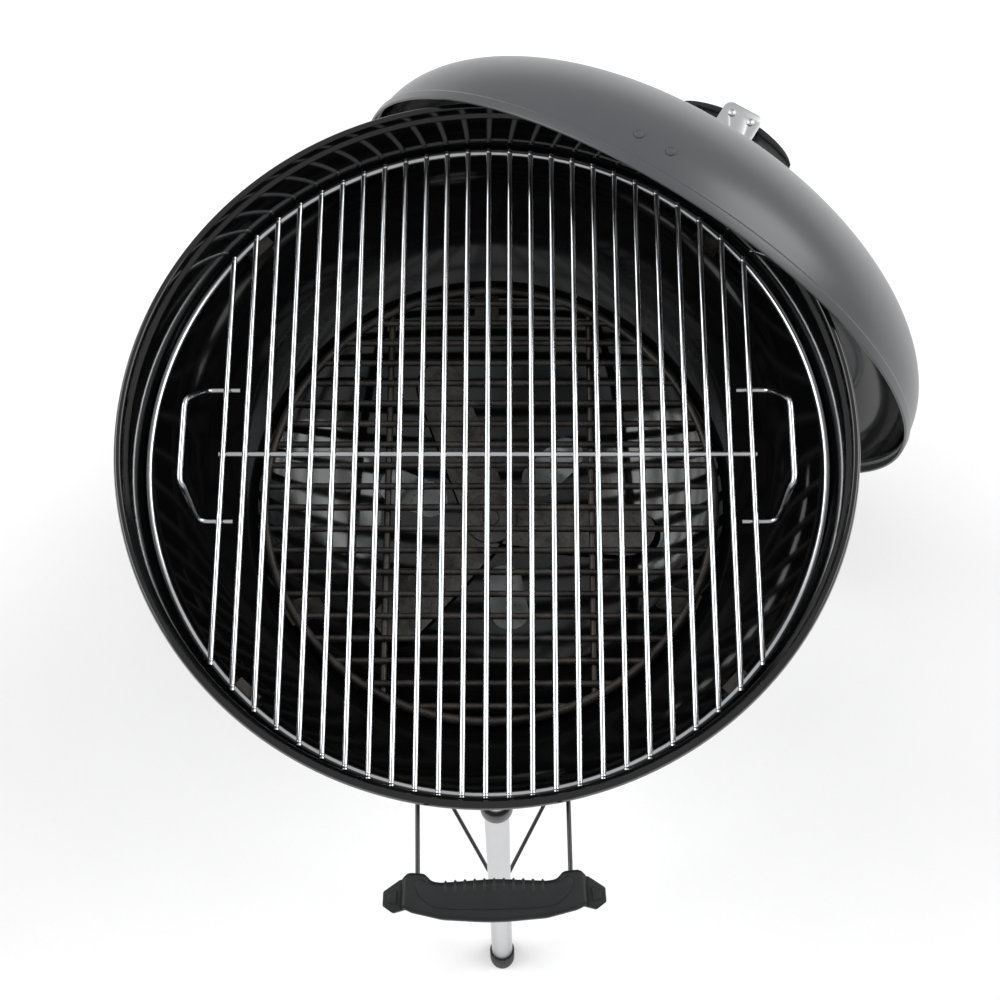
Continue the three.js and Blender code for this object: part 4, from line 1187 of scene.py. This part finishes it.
class GRILL_OT_lid_handle(bpy.types.Operator):
    """Arched grip in a folded bracket, with two rivets and the bolt through the apex"""

    bl_idname = "grill.lid_handle"
    bl_label = "Lid handle"

    def execute(self, context):
        rings = []
        for k in range(41):
            share = math.sin(math.pi * (k / 40 - 0.5))
            x = GRIP_HALF * share
            tip = math.sqrt(max(1 - abs(share) ** 10, 0.0))
            thick = GRIP_THICK * (1 - 0.35 * abs(share) ** 3) * max(tip, 0.25)
            width = GRIP_WIDTH * (1 - 0.1 * share**2) * max(tip, 0.45)
            top = DOME_TOP + GRIP_TOP - GRIP_SAG * share**2 - 0.5 * (GRIP_THICK - thick)
            corner = min(thick, width) * 0.42
            section = rounded([
                (-width / 2, top - thick, corner), (width / 2, top - thick, corner),
                (width / 2, top, corner), (-width / 2, top, corner)], 5)
            rings.append([(x, y, z) for y, z in section])
        grip = new_mesh(lofted(rings))
        settle("lid_grip_bar", grip, "lid", ["lid_grip"], [made(filled_nylon)], place=LID)

        sheet, metal = BRACKET_SHEET, made(satin_aluminium)
        cheek = GRIP_WIDTH / 2 + GAP + sheet / 2
        base, top = DOME_TOP + 1.2 + sheet / 2, DOME_TOP + BRACKET_HEIGHT
        path = bend([(0, -cheek, top), (0, -cheek, base), (0, cheek, base), (0, cheek, top)], 5)
        folded = new_mesh(strap([(p.y, p.z) for p in path], BRACKET_WIDTH, sheet, 7.5))
        middle_z = DOME_TOP + GRIP_TOP - GRIP_THICK / 2
        tools = [
            rod_body((x, -40, middle_z), (x, 40, middle_z), 2.5) for x in (-BRACKET_RIVET, BRACKET_RIVET)]
        tools.append(rod_body((0, 0, DOME_TOP - 12), (0, 0, DOME_TOP + 12), 3.3))
        folded = bevelled(pierced(folded, *tools), 0.35, 2, 50)
        settle("lid_handle_bracket", folded, "lid", ["lid_bracket"], [metal], place=LID)

        face = cheek + sheet / 2
        profile = rounded([
            (2.4, -face - 1.9, 1), (4.4, -face - 0.2, 0.5), (2.2, -face - 0.1, 0), (2.2, face + 0.1, 0),
            (4.4, face + 0.2, 0.5), (2.4, face + 1.9, 1)], 4)
        rivet = cross_rivet([(0, -face - 1.9)] + profile + [(0, face + 1.9)], 28)
        pair = grown("row_of_parts", rivet, Count=2, Spacing=2 * BRACKET_RIVET, Crown=0.0, Material=metal)
        settle("lid_handle_rivets", pair, "lid", ["lid_rivet_1", "lid_rivet_2"],
               place=LID @ Matrix.Translation((0, 0, middle_z)))
        floor = base + sheet / 2
        bolt = turned(rounded([
            (0, DOME_TOP - 7, 0), (6, DOME_TOP - 7, 1), (6, DOME_TOP - 2.6, 0.4), (3, DOME_TOP - 2.6, 0),
            (3, floor + GAP, 0), (6, floor + GAP, 0.5), (6, floor + 2.6, 1.4), (0, floor + 4, 0)], 4), 32)
        settle("lid_handle_bolt", new_mesh(bolt), "lid", ["lid_bolt"], [made(zinc_steel)],
               place=LID)
        return {"FINISHED"}


class GRILL_OT_damper(bpy.types.Operator):
    """Turning damper disc with its thumb tab, and the rivet it turns on"""

    bl_idname = "grill.damper"
    bl_label = "Damper"

    def execute(self, context):
        metal, stand, sheet = made(mill_aluminium), 0.6, 1.6

        def sag(radius):
            return radius * radius / DAMPER_DISH

        under = [(r, stand - sag(r)) for r in (0, 8, 16, 24, 32, DAMPER_R)]
        over = [(r, stand + sheet - sag(r)) for r in (DAMPER_R, 32, 24, 16, 8, 0)]
        disc = new_mesh(turned(under + over, 80))
        disc = pierced(disc, *damper_tools())
        tab_low = stand - sag(DAMPER_R)
        tab = strap([
            (DAMPER_R - 3, tab_low + 0.9), (DAMPER_R + 8, tab_low + 0.9),
            (DAMPER_R + 10.5, tab_low + 3), (DAMPER_R + 11, tab_low + 12.5)], 14, sheet, 0)
        plate = merged(bevelled(disc, 0.3, 2, 50), bevelled(new_mesh(tab), 0.4, 2, 60))
        settle("damper_plate", plate, "damper", ["damper"], [metal], place=LID @ DAMPER)
        top = stand + sheet + GAP
        profile = rounded([
            (6, -6.2, 1), (6, -4.4, 0.5), (2.4, -4.4, 0), (2.4, top, 0), (6, top, 0.4),
            (4.6, top + 2.4, 2)], 4)
        rivet = turned([(0, -6.2)] + profile + [(0, top + 2.6)], 32)
        settle("damper_pivot", new_mesh(rivet), "lid", ["damper_rivet"], [made(satin_aluminium)],
               place=LID @ DAMPER)
        return {"FINISHED"}


class GRILL_OT_lid_hook(bpy.types.Operator):
    """Strap hook riveted inside the lid, which hangs over the bowl's rim"""

    bl_idname = "grill.lid_hook"
    bl_label = "Lid hook"

    def execute(self, context):
        metal, sheet, width = made(satin_aluminium), 2.4, 46.0
        seat, start, end = 208.0, 57.4, 68.6

        def inside(z):
            rise = (z - DOME_BASE) / (DOME_TOP - LID_SHEET - DOME_BASE)
            return (DOME_R - LID_SHEET) * math.sqrt(1 - rise * rise)

        def flange(z):
            return inside(z) - sheet / 2 - 1.6

        saddle = seat + sheet / 2
        near, far = start - sheet / 2, end + sheet / 2
        points = [(flange(18), 18), (flange(42), 42), (saddle, near), (saddle, far), (seat - 14, far)]
        path = [(p.y, p.z) for p in bend([(0, y, z) for y, z in points], 4)]
        main = bevelled(new_mesh(strap(path, width, sheet, 4)), 0.4, 2, 60)
        keeper = bevelled(new_mesh(strap([(saddle, near), (seat - 6, near)], width, sheet, 0)), 0.4, 2, 60)
        settle("lid_hook_strap", merged(main, keeper), "lid", ["lid_hook"], [metal], place=LID)
        inner = flange(HOOK_RIVET_Z) - sheet / 2 - 2.6
        outer = inside(HOOK_RIVET_Z) + LID_SHEET + 0.7
        profile = rounded([
            (2, inner - 1.8, 1), (4, inner - 0.1, 0.4), (2.2, inner, 0), (2.2, outer, 0),
            (4, outer + 0.1, 0.4), (3, outer + 0.9, 0.5)], 4)
        rivet = cross_rivet([(0, inner - 1.8)] + profile + [(0, outer + 1)], 24)
        pair = grown("row_of_parts", rivet, Count=2, Spacing=2 * HOOK_RIVET_X, Crown=0.0, Material=metal)
        pair.materials.clear()
        pair.materials.append(metal)
        pair.materials.append(made(smoke_enamel))
        for face in pair.polygons:
            face.material_index = 1 if face.center.y > outer - 0.05 else 0
        settle("hook_rivets", pair, "lid", ["hook_rivet_1", "hook_rivet_2"],
               place=LID @ Matrix.Translation((0, 0, HOOK_RIVET_Z)))
        return {"FINISHED"}


# ---- settings, panel and registration ----
class GrillSettings(bpy.types.PropertyGroup):
    bowl_colour: FloatVectorProperty(
        name="Bowl colour", description="Colour of the bowl's enamel", subtype="COLOR", size=4,
        min=0.0, max=1.0, default=linear("#0a0a0b"))
    lid_colour: FloatVectorProperty(
        name="Lid colour", description="Colour of the lid's enamel", subtype="COLOR", size=4,
        min=0.0, max=1.0, default=linear("#46474a"))
    grip_colour: FloatVectorProperty(
        name="Grip colour", description="Colour of the handles", subtype="COLOR", size=4,
        min=0.0, max=1.0, default=linear("#1b1c1d"))
    rod_diameter: FloatProperty(
        name="Rod diameter", description="Thickness of the cooking grate's rods", unit="LENGTH",
        default=0.005)
    rod_count: IntProperty(name="Rods", description="Rods in the cooking grate", default=25, min=3)
    # The grey band inside the lip is painted reflection: smoke enamel standing in for the white that the
    # black enamel mirrors there.
    lip_reflection_band: FloatProperty(
        name="Lip band", description="Height of the grey band inside the lid's lip", unit="LENGTH",
        default=0.014)
    ridge_count: IntProperty(
        name="Ridges", description="Finger ridges on the front handle", default=11, min=2)
    tread_lugs: IntProperty(name="Tread lugs", description="Lugs round each wheel", default=48, min=3)
    spokes: IntProperty(name="Spokes", description="Spokes in each wheel", default=8, min=3)
    rack_rows: IntProperty(name="Rack wires", description="Cross wires in the rack", default=6, min=1)
    floor_size: FloatProperty(name="Floor", description="Side of the floor", unit="LENGTH", default=24.0)
    sky_strength: FloatProperty(name="Sky", description="Strength of the studio's even light", default=0.66)
    softbox_watts: FloatProperty(
        name="Softbox", description="Power of each softbox", unit="POWER", default=270.0)


OPERATORS = (
    GRILL_OT_stage, GRILL_OT_bowl, GRILL_OT_cooking_grate, GRILL_OT_charcoal_grate, GRILL_OT_sweeper,
    GRILL_OT_legs, GRILL_OT_wheels, GRILL_OT_rack, GRILL_OT_ash_pan, GRILL_OT_front_handle, GRILL_OT_lid,
    GRILL_OT_lid_handle, GRILL_OT_damper, GRILL_OT_lid_hook,
)


class GRILL_PT_panel(bpy.types.Panel):
    """Lists the pieces and their settings"""

    bl_idname = "GRILL_PT_panel"
    bl_label = "Kettle grill"
    bl_space_type = "VIEW_3D"
    bl_region_type = "UI"
    bl_category = "Grill"

    def draw(self, context):
        for operator in OPERATORS:
            self.layout.operator(operator.bl_idname)
        for key in GrillSettings.__annotations__:
            self.layout.prop(context.scene.grill, key)


CLASSES = (GrillSettings, *OPERATORS, GRILL_PT_panel)


def register():
    for made_class in CLASSES:
        bpy.utils.register_class(made_class)
    bpy.types.Scene.grill = PointerProperty(type=GrillSettings)


def unregister():
    del bpy.types.Scene.grill
    for made_class in reversed(CLASSES):
        bpy.utils.unregister_class(made_class)


def main():
    register()
    for operator in OPERATORS:
        getattr(bpy.ops.grill, operator.bl_idname.split(".")[1])()
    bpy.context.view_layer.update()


if __name__ == "__main__":
    main()
